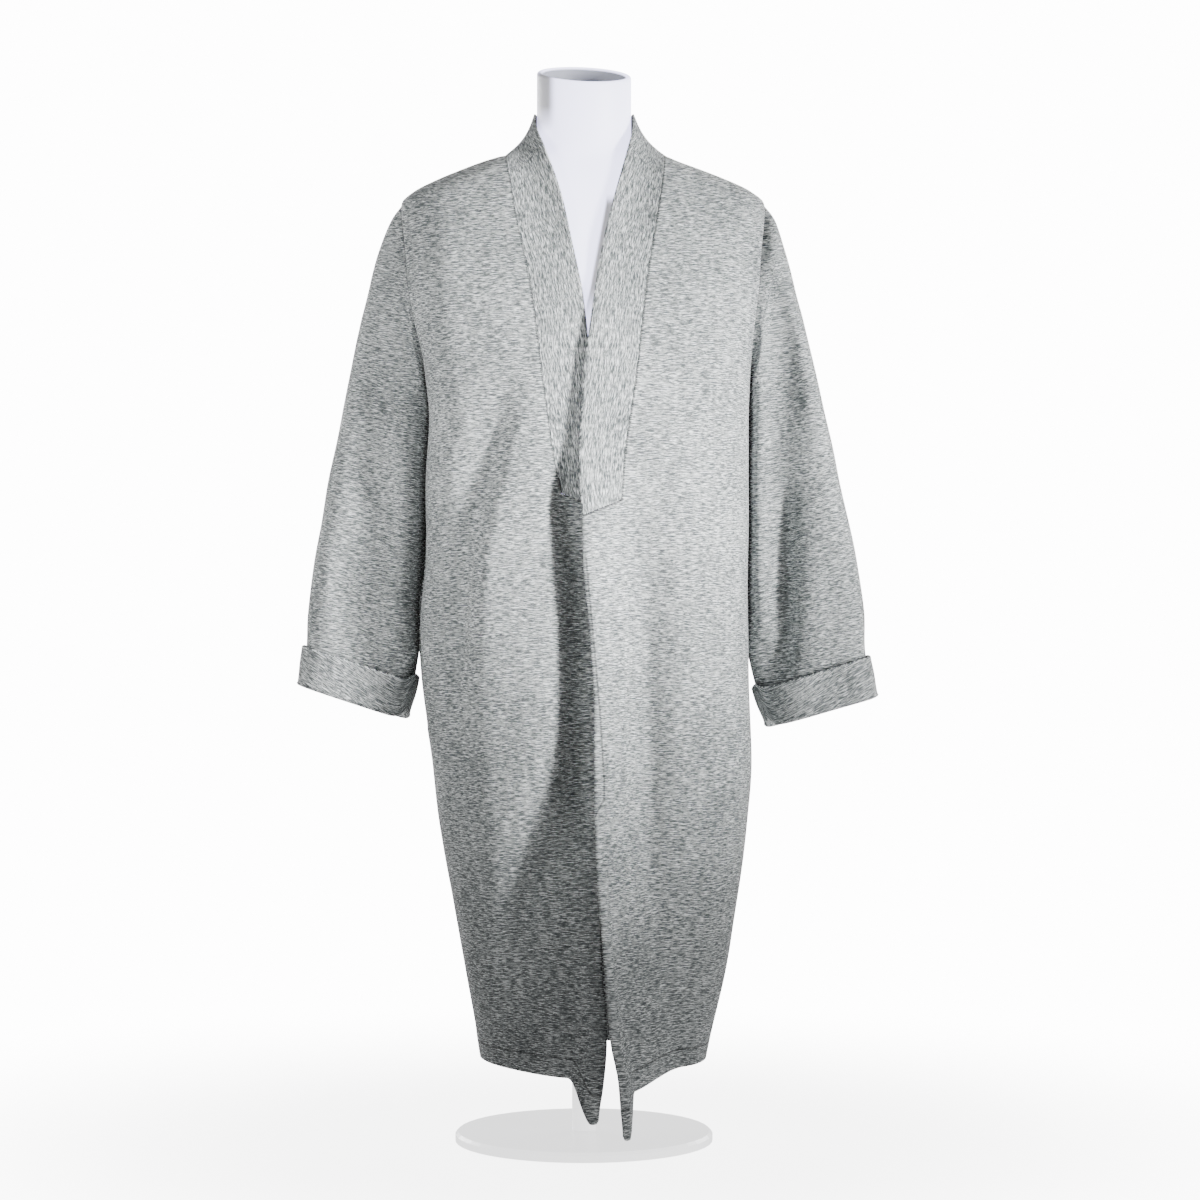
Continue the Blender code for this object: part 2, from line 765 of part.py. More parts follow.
def build_form(finish, collection):
    rings = form_rings()
    points = np.concatenate(rings)
    faces = []
    for row in range(len(rings) - 1):
        for column in range(FORM_POINTS):
            nxt = (column + 1) % FORM_POINTS
            low, high = row * FORM_POINTS, (row + 1) * FORM_POINTS
            faces.append((low + column, low + nxt, high + nxt, high + column))
    faces.append(tuple(range(FORM_POINTS)))
    faces.append(tuple((len(rings) - 1) * FORM_POINTS + i for i in range(FORM_POINTS)))
    return mesh_object("form_torso", points, faces, finish, collection)


def turned(name, profile, finish, collection):
    """A solid turned round the middle axis from (radius, height) points, top to bottom."""
    mesh = bpy.data.meshes.new(name)
    rim = [(METRES * radius, 0.0, METRES * height) for radius, height in profile]
    mesh.from_pydata(rim, [(i, i + 1) for i in range(len(rim) - 1)], [])
    made = bpy.data.objects.new(name, mesh)
    collection.objects.link(made)
    screw = made.modifiers.new("turn", "SCREW")
    screw.steps = screw.render_steps = 48
    screw.use_merge_vertices = True
    screw.merge_threshold = 0.00001
    screw.use_smooth_shade = True
    mesh.materials.append(finish)
    return made


def build_stand(finish, collection):
    top = FORM_LEVELS[0].height - GAP
    flange = top - POST_FLANGE_THICKNESS
    foot = BASE_THICKNESS + GAP
    turned("form_post", [
        (0, top),
        (POST_FLANGE_RADIUS, top),
        (POST_FLANGE_RADIUS, flange),
        (POST_RADIUS, flange),
        (POST_RADIUS, foot),
        (0, foot),
    ], finish, collection)
    turned("form_base", [
        (0, BASE_THICKNESS),
        (BASE_RADIUS - BASE_EDGE, BASE_THICKNESS),
        (BASE_RADIUS, BASE_THICKNESS - BASE_EDGE),
        (BASE_RADIUS, 0),
        (0, 0),
    ], finish, collection)


def main():
    for existing in list(bpy.data.objects):
        bpy.data.objects.remove(existing, do_unlink=True)
    collection = bpy.data.collections.new("open_front_coat_on_dress_form")
    bpy.context.scene.collection.children.link(collection)

    def knit(piece):
        return material(piece + "_knit", KNIT_GREY, 0.9)

    wall("back", *back_grid(), knit("back"), collection)
    for side in ("right", "left"):
        front, band = "front_" + side, "band_" + side
        sleeve, cuff = "sleeve_" + side, "cuff_" + side
        wall(front, *front_grid(side), knit(front), collection)
        wall(band, *band_grid(side), knit(band), collection)
        wall(sleeve, *sleeve_grid(side), knit(sleeve), collection, tube=True)
        wall(cuff, *cuff_grid(side), knit(cuff), collection, tube=True)
    build_form(material("form_shell", FORM_WHITE, 0.8), collection)
    build_stand(material("stand_lacquer", STAND_WHITE, 0.35), collection)


main()
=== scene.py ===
"""Looks of a long open-front coat in heather sweatshirt knit, on its white dress form.

Sizes in the tables are in millimetres, in the part's frame: +Z up, the coat's front towards
-Y, the wearer's left at +X. Each piece of cloth is a thin shell on its own solid's form.
"""

import logging
import math
from dataclasses import dataclass, field
from enum import Enum
from typing import Optional, Sequence

import bpy
import numpy as np
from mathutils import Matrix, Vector


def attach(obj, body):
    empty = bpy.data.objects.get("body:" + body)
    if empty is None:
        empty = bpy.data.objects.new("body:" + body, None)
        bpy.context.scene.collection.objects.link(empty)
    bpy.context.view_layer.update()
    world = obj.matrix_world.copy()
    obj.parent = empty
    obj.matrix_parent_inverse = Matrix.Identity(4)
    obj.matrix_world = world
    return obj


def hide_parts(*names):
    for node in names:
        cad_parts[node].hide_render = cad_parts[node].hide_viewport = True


logging.basicConfig(level=logging.INFO, format="%(name)s: %(message)s")
log = logging.getLogger("coat")
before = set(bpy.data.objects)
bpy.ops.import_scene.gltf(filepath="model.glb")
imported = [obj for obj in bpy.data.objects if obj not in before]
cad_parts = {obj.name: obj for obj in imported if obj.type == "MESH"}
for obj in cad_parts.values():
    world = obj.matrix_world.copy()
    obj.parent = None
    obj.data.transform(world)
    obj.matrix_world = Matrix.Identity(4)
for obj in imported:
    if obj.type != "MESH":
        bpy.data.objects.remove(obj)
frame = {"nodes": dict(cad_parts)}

MM = 0.001
FAR = 99.0  # a distance in millimetres at which a sewn line no longer shows
Array = np.ndarray
Point = tuple[float, float]
Place = tuple[float, float, float]


class Side(Enum):
    """The wearer's side that a piece belongs to."""

    RIGHT = "right"
    LEFT = "left"

    @property
    def sign(self) -> float:
        """+1 towards +X, the wearer's left, and -1 towards the right."""
        return 1.0 if self is Side.LEFT else -1.0


class Face(Enum):
    """The front or the back of the coat."""

    FRONT = -1
    BACK = 1

    @property
    def power(self) -> float:
        """How square the sections are: the fronts hang flatter than the back."""
        return 2.9 if self is Face.FRONT else 2.25


# ---------------------------------------------------------------- small mathematics


def soft_step(value: Array) -> Array:
    """A smooth rise from 0 at 0 to 1 at 1.

    Args:
        value: Where on the rise.

    Returns:
        The height of the rise.
    """
    value = np.clip(value, 0.0, 1.0)
    return value * value * (3 - 2 * value)


def signed_power(value: Array, power: float) -> Array:
    """A power of a number's size, with its sign kept."""
    return np.sign(value) * np.abs(value) ** power


def unit(vector: Array) -> Array:
    """Vectors of length 1 along the last axis."""
    return vector / np.maximum(np.linalg.norm(vector, axis=-1, keepdims=True), 1e-9)


def together(*values: Array) -> Sequence[Array]:
    """Numbers and arrays spread to one common shape."""
    return np.broadcast_arrays(*(np.asarray(value, float) for value in values))


def full_turn(count: int) -> Array:
    """Angles that divide a full turn evenly, in radians."""
    return np.linspace(0, 2 * math.pi, count, endpoint=False)


def oval(angle: Array, power: Array) -> tuple[Array, Array]:
    """Places across and along the depth of an oval of half width 1, squarer with the power."""
    return signed_power(np.cos(angle), 2 / power), signed_power(np.sin(angle), 2 / power)


def running(steps: Array) -> Array:
    """Distances from the first point, from the lengths of the steps."""
    return np.concatenate([[0], np.cumsum(steps)])


def row_lengths(points: Array) -> Array:
    """Distances along each row of a grid, from its first column."""
    steps = np.linalg.norm(np.diff(points, axis=1), axis=-1)
    return np.concatenate([np.zeros((len(points), 1)), np.cumsum(steps, axis=1)], axis=1)


def hermite(knots: Array, values: Array, tangents: Array, at: Array) -> Array:
    """A cubic through values with given tangents.

    Args:
        knots: Where the values stand, rising.
        values: The values, along the first axis.
        tangents: The slopes at the knots.
        at: Where to read the curve.

    Returns:
        The values at the places asked for.
    """
    at = np.clip(at, knots[0], knots[-1])
    i = np.clip(np.searchsorted(knots, at, side="right") - 1, 0, len(knots) - 2)
    span = knots[i + 1] - knots[i]
    t = (at - knots[i]) / span
    extra = (1,) * (values.ndim - 1)
    t, span = t.reshape(t.shape + extra), span.reshape(span.shape + extra)
    rise = (3 - 2 * t) * t * t
    start = t * (1 - t) ** 2 * tangents[i] * span
    end = -t * t * (1 - t) * tangents[i + 1] * span
    return values[i] + (values[i + 1] - values[i]) * rise + start + end


class Profile:
    """A size that changes with height, on a cubic that never overshoots its rows."""

    def __init__(self, rows: Sequence[Point]) -> None:
        """Sets the curve up.

        Args:
            rows: Pairs of height and value.
        """
        ordered = sorted(rows)
        self.knots = np.array([row[0] for row in ordered], float)
        self.values = np.array([row[1] for row in ordered], float)
        slopes = np.diff(self.values) / np.diff(self.knots)
        before, after = slopes[:-1], slopes[1:]
        both = before * after
        inner = np.where(both > 0, 2 * both / np.where(both > 0, before + after, 1.0), 0.0)
        self.tangents = np.concatenate([slopes[:1], inner, slopes[-1:]])

    def __call__(self, at: Array) -> Array:
        """The value at each height."""
        return hermite(self.knots, self.values, self.tangents, np.asarray(at, float))


def through(knots: Array, values: Array, at: Array) -> Array:
    """A smooth curve through points.

    Args:
        knots: Where the points stand, rising.
        values: The points, along the first axis.
        at: Where to read the curve.

    Returns:
        The points asked for.
    """
    spans = np.diff(knots).reshape((-1,) + (1,) * (values.ndim - 1))
    slopes = np.diff(values, axis=0) / spans
    middle = (slopes[:-1] * spans[1:] + slopes[1:] * spans[:-1]) / (spans[1:] + spans[:-1])
    tangents = np.concatenate([slopes[:1], middle, slopes[-1:]])
    return hermite(knots, values, tangents, at)


def to_line(across: Array, height: Array, line: Sequence[Point]) -> tuple[Array, Array, Array]:
    """How points lie to a line of straight stretches, seen from the front.

    Args:
        across: The points' places across.
        height: The points' heights.
        line: The line's points, as across and height.

    Returns:
        The distance, the side of the line (+1 towards +X of a line that runs down), and how
        far along the line the nearest place is, from 0 to 1.
    """
    best = np.full(np.shape(across), 1e9)
    side = np.zeros_like(best)
    along = np.zeros_like(best)
    steps = [math.dist(a, b) for a, b in zip(line, line[1:])]
    total, done = sum(steps), 0.0
    for (ax, az), (bx, bz), step in zip(line, line[1:], steps):
        dx, dz = bx - ax, bz - az
        t = np.clip(((across - ax) * dx + (height - az) * dz) / step**2, 0.0, 1.0)
        away = np.hypot(across - ax - t * dx, height - az - t * dz)
        nearer = away < best
        cross = dx * (height - az) - dz * (across - ax)
        best = np.where(nearer, away, best)
        side = np.where(nearer, np.sign(cross), side)
        along = np.where(nearer, (done + t * step) / total, along)
        done += step
    return best, side, along


# ---------------------------------------------------------------- meshes in the scene


def grid_quads(rows: int, columns: int, closed: bool) -> Array:
    """The quads of a grid of points.

    Args:
        rows: How many rows the grid has.
        columns: How many points a row has.
        closed: Whether each row closes into a ring.

    Returns:
        Four point numbers for each quad.
    """
    spans = columns if closed else columns - 1
    row, place = np.meshgrid(np.arange(rows - 1), np.arange(spans), indexing="ij")
    a = row * columns + place
    b = row * columns + (place + 1) % columns
    return np.stack([a, b, b + columns, a + columns], axis=-1).reshape(-1, 4)


def linked(name: str, data: bpy.types.ID) -> bpy.types.Object:
    """A new object in the scene.

    Args:
        name: The object's name.
        data: Its mesh, light or camera.

    Returns:
        The object.
    """
    made = bpy.data.objects.new(name, data)
    bpy.context.scene.collection.objects.link(made)
    return made


def choose(made: bpy.types.Object) -> None:
    """Selects one object alone, for the operators.

    Args:
        made: The object.
    """
    bpy.ops.object.select_all(action="DESELECT")
    bpy.context.view_layer.objects.active = made
    made.select_set(True)


def mesh_of(name: str, points: Array, faces: list[list[int]]) -> bpy.types.Object:
    """A new mesh in the scene, selected alone.

    Args:
        name: The name of the object and its mesh.
        points: Every point, in millimetres.
        faces: The point numbers of every face.

    Returns:
        The object.
    """
    mesh = bpy.data.meshes.new(name)
    mesh.from_pydata((points * MM).tolist(), [], faces)
    made = linked(name, mesh)
    choose(made)
    return made


def store(made: bpy.types.Object, label: str, values: Array, kind: str = "FLOAT") -> None:
    """Stores values on an object's points, for its material to read.

    Args:
        made: The object.
        label: The values' name.
        values: A number or a vector for each point.
        kind: Blender's word for a number or a vector.
    """
    stored = made.data.attributes.new(label, kind, "POINT")
    stored.data.foreach_set("vector" if kind == "FLOAT_VECTOR" else "value", values.ravel())


# ---------------------------------------------------------------- cloth as shells


@dataclass
class Shell:
    """A sheet of cloth as a grid of outer points, a grid of inner ones, and its lines.

    Attributes:
        outer: Outer points, rows by columns.
        inner: Inner points, in step with the outer ones.
        weave: Places on the cloth for the knit's streaks, in millimetres.
        seam: Distance to the nearest sewn seam.
        hem: Distance to the nearest turned hem or topstitched edge.
        closed: Whether the columns close into a tube.
        round_rows: How far the first and the last row's edges bulge.
        round_columns: How far the first and the last column's edges bulge.
    """

    outer: Array
    inner: Array
    weave: Array
    seam: Array
    hem: Array
    closed: bool = False
    round_rows: Point = (0.0, 0.0)
    round_columns: Point = (0.0, 0.0)

    def _rim(self, line: Array, base: int, points: list[Array], bulge: Array) -> Array:
        """The rounded edge between the two grids along a line of outer point numbers.

        Args:
            line: Outer point numbers in order.
            base: How far the inner points' numbers lie above the outer ones.
            points: The mesh's points so far, which the rim's middle is added to.
            bulge: How far out the middle stands, as a vector for each point.

        Returns:
            The rim's quads.
        """
        flat = np.concatenate(points)
        middle = (flat[line] + flat[line + base]) / 2 + bulge
        first = len(flat)
        points.append(middle)
        mid = first + np.arange(len(line))
        if self.closed:
            nxt, mid_nxt = np.roll(line, -1), np.roll(mid, -1)
        else:
            line, nxt, mid, mid_nxt = line[:-1], line[1:], mid[:-1], mid[1:]
        upper = np.stack([line, nxt, mid_nxt, mid], axis=-1)
        lower = np.stack([mid, mid_nxt, nxt + base, line + base], axis=-1)
        return np.concatenate([upper, lower])

    def build(self, name: str, finish: bpy.types.Material) -> bpy.types.Object:
        """Makes the piece.

        Args:
            name: The object's name.
            finish: Its material.

        Returns:
            The new object, closed and smooth.
        """
        rows, columns = self.outer.shape[:2]
        base = rows * columns
        points = [self.outer.reshape(-1, 3), self.inner.reshape(-1, 3)]
        grid = grid_quads(rows, columns, self.closed)
        faces = [grid, grid[:, ::-1] + base]
        numbers = np.arange(base).reshape(rows, columns)
        for row, nxt, bulge in ((0, 1, self.round_rows[0]), (-1, -2, self.round_rows[1])):
            out = unit(self.outer[row] - self.outer[nxt]) * bulge
            faces.append(self._rim(numbers[row], base, points, out))
        if not self.closed:
            for col, nxt, bulge in ((0, 1, self.round_columns[0]), (-1, -2, self.round_columns[1])):
                out = unit(self.outer[:, col] - self.outer[:, nxt]) * bulge
                faces.append(self._rim(numbers[:, col], base, points, out))
        flat = np.concatenate(points)
        made = mesh_of(name, flat, np.concatenate(faces).tolist())
        self._face_outwards(made)
        self._lines(made, len(flat), base)
        made.data.materials.append(finish)
        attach(made, "root")
        return made

    @staticmethod
    def _face_outwards(made: bpy.types.Object) -> None:
        """Turns the selected piece's faces outwards and shades them smoothly.

        Args:
            made: The piece.
        """
        bpy.ops.object.mode_set(mode="EDIT")
        bpy.ops.mesh.select_all(action="SELECT")
        bpy.ops.mesh.normals_make_consistent(inside=False)
        bpy.ops.object.mode_set(mode="OBJECT")
        bpy.ops.object.shade_smooth()
        made.select_set(False)

    def _lines(self, made: bpy.types.Object, count: int, base: int) -> None:
        """Stores the knit's directions and the distances to the sewn lines on the points.

        Args:
            made: The object.
            count: How many points it has.
            base: How many points one grid has.
        """
        weave = np.zeros((count, 3))
        weave[:base, :2] = self.weave.reshape(-1, 2)
        weave[base : 2 * base] = weave[:base]
        weave[2 * base :] = self._along_rims(weave[:base], count - 2 * base)
        store(made, "weave", weave * MM, "FLOAT_VECTOR")
        for label, distance in (("seam", self.seam), ("hem", self.hem)):
            values = np.full(count, FAR)
            values[:base] = distance.reshape(-1)
            store(made, label, values * MM)

    def _along_rims(self, weave: Array, count: int) -> Array:
        """The knit's places along the rims, taken from the grid's own edges.

        Args:
            weave: The knit's places on one grid.
            count: How many points the rims have.

        Returns:
            The places in the rims' order.
        """
        rows, columns = self.outer.shape[:2]
        grid = weave.reshape(rows, columns, 3)
        edges = [grid[0], grid[-1]] + ([] if self.closed else [grid[:, 0], grid[:, -1]])
        return np.concatenate(edges)[:count]


def declare(
    made: bpy.types.Object,
    node: str,
) -> None:
    """Hides the solid that a piece of cloth is shown in place of, and logs the piece.

    Args:
        made: The piece.
        node: The solid that it is shown in place of.
    """
    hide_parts(node)
    log.info("%s: %d faces", made.name, len(made.data.polygons))


@dataclass(frozen=True)
class Crease:
    """A soft fold: its line seen from the front, and how wide and how high it is.

    Attributes:
        line: Points as across and height, from the top down.
        width: Half width on the side towards +X, in millimetres.
        other: Half width on the other side.
        height: How far it stands out; a trough is negative.
        fade: How soon it dies away at its ends; small is sudden.
    """

    line: tuple[Point, ...]
    width: float
    other: float
    height: float
    fade: float = 0.7

    def at(self, across: Array, height: Array) -> Array:
        """How far out the fold carries points.

        Args:
            across: The points' places across.
            height: Their heights.

        Returns:
            The rise at each point.
        """
        away, side, along = to_line(across, height, self.line)
        width = np.where(side >= 0, self.width, self.other)
        ends = np.sin(np.pi * np.clip(along, 0.0, 1.0)) ** self.fade
        return self.height * ends * np.exp(-((away / width) ** 2))


@dataclass(frozen=True)
class Ripple:
    """A shallow unevenness of hanging cloth, the same each time.

    Attributes:
        size: Its height.
        span: Its length from crest to crest.
        seed: What sets its place.
    """

    size: float = 0.5
    span: float = 90.0
    seed: float = 1.0

    def at(self, across: Array, height: Array) -> Array:
        """How far out the ripple carries points.

        Args:
            across: The points' places across.
            height: Their heights.

        Returns:
            The rise at each point, from three crossing waves.
        """
        k = 2 * math.pi / self.span
        s = self.seed
        first = np.sin(k * (0.9 * across + 0.35 * height) + 1.3 * s)
        second = np.sin(k * (1.7 * across - 0.28 * height) + 2.1 * s + 0.8 * np.sin(k * 0.4 * height + s))
        third = np.sin(k * (0.45 * across + 0.8 * height) + 0.7 * s)
        return self.size * (0.5 * first + 0.3 * second + 0.35 * third)


# ---------------------------------------------------------------- the coat's body


HEM, UNDERARM, SHOULDER, NECK, COLLAR = 90.0, 785.0, 980.0, 1030.0, 1076.0
GAP = 0.3  # between sewn pieces
TUCK = 0.05  # how far the back and the fronts close over a seam, so that no light comes through
KNIT = 2.2  # the cloth's thickness
HEM_STITCH = 18.0  # from a hem or a faced edge to its stitches
ARMHOLE_DEPTH = 48.0
ARMHOLE_STEPS = 44
ARMHOLE_MIDDLE, ARMHOLE_HALF = (SHOULDER + UNDERARM) / 2, (SHOULDER - UNDERARM) / 2

# Height, half width on the right and on the left, depth of the front and of the back.
LEVELS = (
    (1030, 83, 86, 54, 60),
    (1024, 105, 99, 57, 68),
    (1014, 132, 126, 62, 78),
    (1004, 156, 151, 67, 85),
    (992, 179, 176, 72, 91),
    (980, 191, 189, 77, 96),
    (950, 192, 191, 90, 104),
    (904, 190, 189, 105, 110),
    (855, 180, 182, 117, 112),
    (813, 167, 176, 121, 111),
    (755, 160, 172, 122, 108),
    (692, 164, 172, 121, 105),
    (608, 167, 171.5, 119, 103),
    (540, 174, 172, 118, 106),
    (494, 172, 172.5, 117, 108),
    (398, 159, 175, 115, 107),
    (335, 152, 171, 114, 105),
    (212, 130, 154, 112, 102),
    (90, 109, 128, 112, 100),
)


def column(rows: Sequence[Sequence[float]], index: int) -> Profile:
    """One column of a table as a curve against its first column."""
    return Profile([(row[0], row[index]) for row in rows])


@dataclass
class CoatBody:
    """The form that the back, the fronts and the bands share.

    Attributes:
        half_width, depth, square: The level sections' half widths, depths and squareness.
        band_end: Heights between which each band ends, on a slant.
        band_seam, free_edge: How far across a front reaches, at a band and below it.
        lifts: By height, how far the front edge swings forward and sinks, then its keel's part.
        lift_reach, lift_ramp: How far from the edge the swing reaches and eases off.
        keel: The same two sizes for its keel, the narrow part beside the edge.
        corner, corner_high: How far the front edge's lower corner rises, and from what height.
        folds, ripple: The soft folds and the cloth's unevenness.
        ripple_fades: How soon the ripple ends at the neck and at the hem, and its share there.
        back_ripple: How far the back's ripple is shifted from the front's.
        under_arm: The wall's direction under the left arm.
    """

    half_width: dict[Side, Profile] = field(
        default_factory=lambda: {Side.RIGHT: column(LEVELS, 1), Side.LEFT: column(LEVELS, 2)}
    )
    depth: dict[Face, Profile] = field(
        default_factory=lambda: {Face.FRONT: column(LEVELS, 3), Face.BACK: column(LEVELS, 4)}
    )
    square: dict[Side, Profile] = field(default_factory=lambda: {
        Side.RIGHT: Profile([(1030, 2.9), (660, 2.9), (480, 2.5), (90, 2.35)]),
        Side.LEFT: Profile([(1030, 2.9), (90, 2.9)]),
    })
    band_end: dict[Side, Point] = field(
        default_factory=lambda: {Side.RIGHT: (674.0, 658.0), Side.LEFT: (666.0, 650.0)}
    )
    band_seam: dict[Side, tuple[Point, ...]] = field(default_factory=lambda: {
        Side.RIGHT: (
            (1030, -82), (999, -76), (962, -70), (917, -60), (866, -51), (788, -41), (722, -32), (674, -23),
        ),
        Side.LEFT: (
            (1030, 85), (999, 82), (953, 75), (904, 67), (855, 61), (793, 54), (709, 42), (666, 39),
        ),
    })
    free_edge: dict[Side, tuple[Point, ...]] = field(default_factory=lambda: {
        Side.RIGHT: (
            (658, 17), (610, 26), (520, 31), (350, 31), (290, 19),
            (245, 17), (202, 18), (145, 23), (90, 15),
        ),
        Side.LEFT: (
            (650, 0), (606, 1), (530, 8), (452, 12), (375, 12), (323, 13),
            (272, 16), (205, 22), (150, 28), (124, 36), (90, 40),
        ),
    })
    lifts: dict[Side, tuple[tuple[float, ...], ...]] = field(default_factory=lambda: {
        Side.RIGHT: (
            (1030, 0, 0, 0, 0), (866, -1, 0, 0, 0), (722, -4, 0, 0, 0), (650, -19, 0, 0, 0),
            (480, -20, 0, 0, 0), (380, -22, 0, 0, 0), (300, -14, 0, 0, 0), (250, -1, 0, 4, 0),
            (170, 17, 2, 12, 9), (90, 33, 3, 22, 42),
        ),
        Side.LEFT: (
            (1030, 0, 0, 0, 0), (866, 5, 0, 0, 0), (735, 7, 0, 0, 0), (640, 19, 0, 0, 0),
            (480, 21, 0, 0, 0), (350, 33, 0, 0, 0), (250, 41, 1, 6, 0), (170, 44, 7, 14, 8),
            (90, 43, 17, 26, 42),
        ),
    })
    lift_reach: dict[Side, Profile] = field(default_factory=lambda: {
        Side.RIGHT: Profile([(1030, 62), (380, 66), (310, 80), (210, 122), (90, 122)]),
        Side.LEFT: Profile([(1030, 62), (90, 62)]),
    })
    lift_ramp: dict[Side, Profile] = field(default_factory=lambda: {
        Side.RIGHT: Profile([(1030, 34), (380, 36), (310, 56), (210, 112), (90, 112)]),
        Side.LEFT: Profile([(1030, 62), (90, 62)]),
    })
    keel: dict[Side, Point] = field(
        default_factory=lambda: {Side.RIGHT: (31.0, 24.0), Side.LEFT: (11.5, 4.5)}
    )
    folds: dict[Face, tuple[Crease, ...]] = field(default_factory=lambda: {
        Face.FRONT: (
            Crease(
                ((-80, 800), (-92, 730), (-104, 690), (-116, 655), (-130, 600), (-139, 530), (-142, 430)),
                20, 26, -13.0,
            ),
            Crease(((-144, 940), (-144, 860), (-142, 800), (-140, 720), (-146, 640)), 22, 20, 5.0),
            Crease(((-62, 770), (-84, 680), (-98, 620), (-104, 480)), 14, 12, 3.0),
            Crease(((-118, 700), (-140, 600), (-152, 440)), 10, 10, 2.0),
            Crease(((-128, 560), (-133, 470), (-124, 350), (-116, 240)), 18, 16, -4.0),
            Crease(((-134, 400), (-122, 360), (-106, 300)), 6, 8, 1.6),
            Crease(((-98, 430), (-92, 300), (-82, 130)), 22, 22, 2.5),
            Crease(((-60, 560), (-52, 420), (-58, 250)), 20, 26, 2.4),
            Crease(((54, 690), (63, 590), (64, 400), (66, 220)), 24, 36, -14.0),
            Crease(((62, 560), (65, 480), (67, 300)), 22, 32, -6.0),
            Crease(((-126, 600), (-134, 545), (-139, 480)), 14, 24, -8.0),
            Crease(((-10, 420), (-46, 315), (-70, 215), (-85, 110)), 40, 22, -13.0),
            Crease(((42, 660), (40, 500), (39, 330)), 8, 9, 1.8),
            Crease(((122, 560), (128, 480), (127, 330)), 6, 9, -1.6),
            Crease(((110, 520), (104, 330), (92, 110)), 18, 18, -2.0),
            Crease(((150, 460), (156, 380), (152, 300)), 6, 6, 1.4),
            Crease(((140, 780), (128, 720), (104, 670)), 14, 9, -2.0),
            Crease(((-146, 780), (-136, 742), (-112, 706)), 9, 14, -1.8),
        ),
        Face.BACK: (
            Crease(((-88, 850), (-82, 600), (-70, 110)), 24, 28, -6.0),
            Crease(((-30, 720), (-26, 400), (-18, 95)), 24, 20, 4.5),
            Crease(((52, 880), (50, 500), (46, 120)), 26, 24, -6.0),
            Crease(((108, 760), (102, 500), (92, 105)), 20, 22, 4.5),
            Crease(((120, 880), (80, 820), (30, 800)), 16, 11, -2.4),
            Crease(((-124, 880), (-90, 815), (-40, 790)), 11, 16, -2.2),
            Crease(((6, 640), (10, 420), (14, 240)), 14, 10, -2.0),
        ),
    })
    ripple: Ripple = Ripple(0.55, 96.0, 1.0)
    corner: float = 4.0
    corner_high: float = 24.0
    ripple_fades: Place = (60.0, 20.0, 0.3)
    back_ripple: float = 400.0
    under_arm: Place = (0.2, 0.0, -1.0)

    def __post_init__(self) -> None:
        """Turns the tables of the edges into curves."""
        self.seam_across = {side: Profile(rows) for side, rows in self.band_seam.items()}
        self.edge_across_at = {side: Profile(rows) for side, rows in self.free_edge.items()}
        self.lift_at = {side: [column(rows, i) for i in range(1, 5)] for side, rows in self.lifts.items()}

    def section(self, side: Side, turn: Array, height: Array) -> Array:
        """A point of the plain sections.

        Args:
            side: The wearer's side.
            turn: 0 at the side seam, 90 at the front's middle, -90 at the back's.
            height: The section's height.

        Returns:
            The points.
        """
        turn, height = together(turn, height)
        depth = np.where(turn > 0, self.depth[Face.FRONT](height), self.depth[Face.BACK](height))
        power = np.where(turn > 0, self.square[side](height), Face.BACK.power)
        across, deep = oval(np.radians(turn), power)
        x = side.sign * self.half_width[side](height) * across
        return np.stack([x, -depth * deep, height], axis=-1)

    def turn_at(self, side: Side, across: Array, height: Array) -> Array:
        """The turn at which the front is this far across.

        Args:
            side: The wearer's side.
            across: Places across.
            height: Their heights.

        Returns:
            The turns, in degrees.
        """
        share = np.clip(side.sign * across / self.half_width[side](height), -1.0, 1.0)
        return np.degrees(np.arccos(signed_power(share, self.square[side](height) / 2)))

    def armhole_turn(self, face: Face, height: Array) -> Array:
        """Where a panel starts: at its side seam, or at the armhole's edge.

        Args:
            face: The front or the back.
            height: The heights.

        Returns:
            The turns, in degrees.
        """
        share = np.clip((height - ARMHOLE_MIDDLE) / ARMHOLE_HALF, -1.0, 1.0)
        out = ARMHOLE_DEPTH * np.sqrt(np.maximum(1 - share**2, 0.0)) / self.depth[face](height)
        return -face.value * np.degrees(np.arcsin(out ** (face.power / 2)))

    def edge_lift(self, side: Side, across: Array, height: Array) -> tuple[Array, Array]:
        """How far a front is carried forward and lowered by its swung free edge.

        Args:
            side: The wearer's side.
            across: The points' places across.
            height: Their heights.

        Returns:
            The distance forward and the distance down.
        """
        lift, drop, keel, dip = (curve(height) for curve in self.lift_at[side])
        free = self.edge_across_at[side](np.minimum(height, self.band_end[side][1]))
        inside = side.sign * (across - free)
        wide = soft_step((self.lift_reach[side](height) - inside) / self.lift_ramp[side](height))
        reach, ramp = self.keel[side]
        near = soft_step((reach - inside) / ramp)
        turned = np.clip(1 - inside / self.corner, 0.0, 1.0)
        corner = self.corner * (1 - np.sqrt(1 - turned**2))
        low = soft_step((HEM + self.corner_high - height) / self.corner_high)
        return lift * wide + keel * near, drop * wide + dip * near - corner * low

    def relief(self, face: Face, across: Array, height: Array) -> Array:
        """How far the folds and the cloth's unevenness carry the surface out.

        Args:
            face: The front or the back.
            across: The points' places across.
            height: Their heights.

        Returns:
            The rise at each point.
        """
        total = self.ripple.at(across, height + self.back_ripple * (face is Face.BACK))
        neck, hem, left = self.ripple_fades
        total = total * soft_step((NECK - height) / neck) * soft_step((height - HEM) / hem + left)
        for fold in self.folds[face]:
            total = total + fold.at(across, height)
        return total

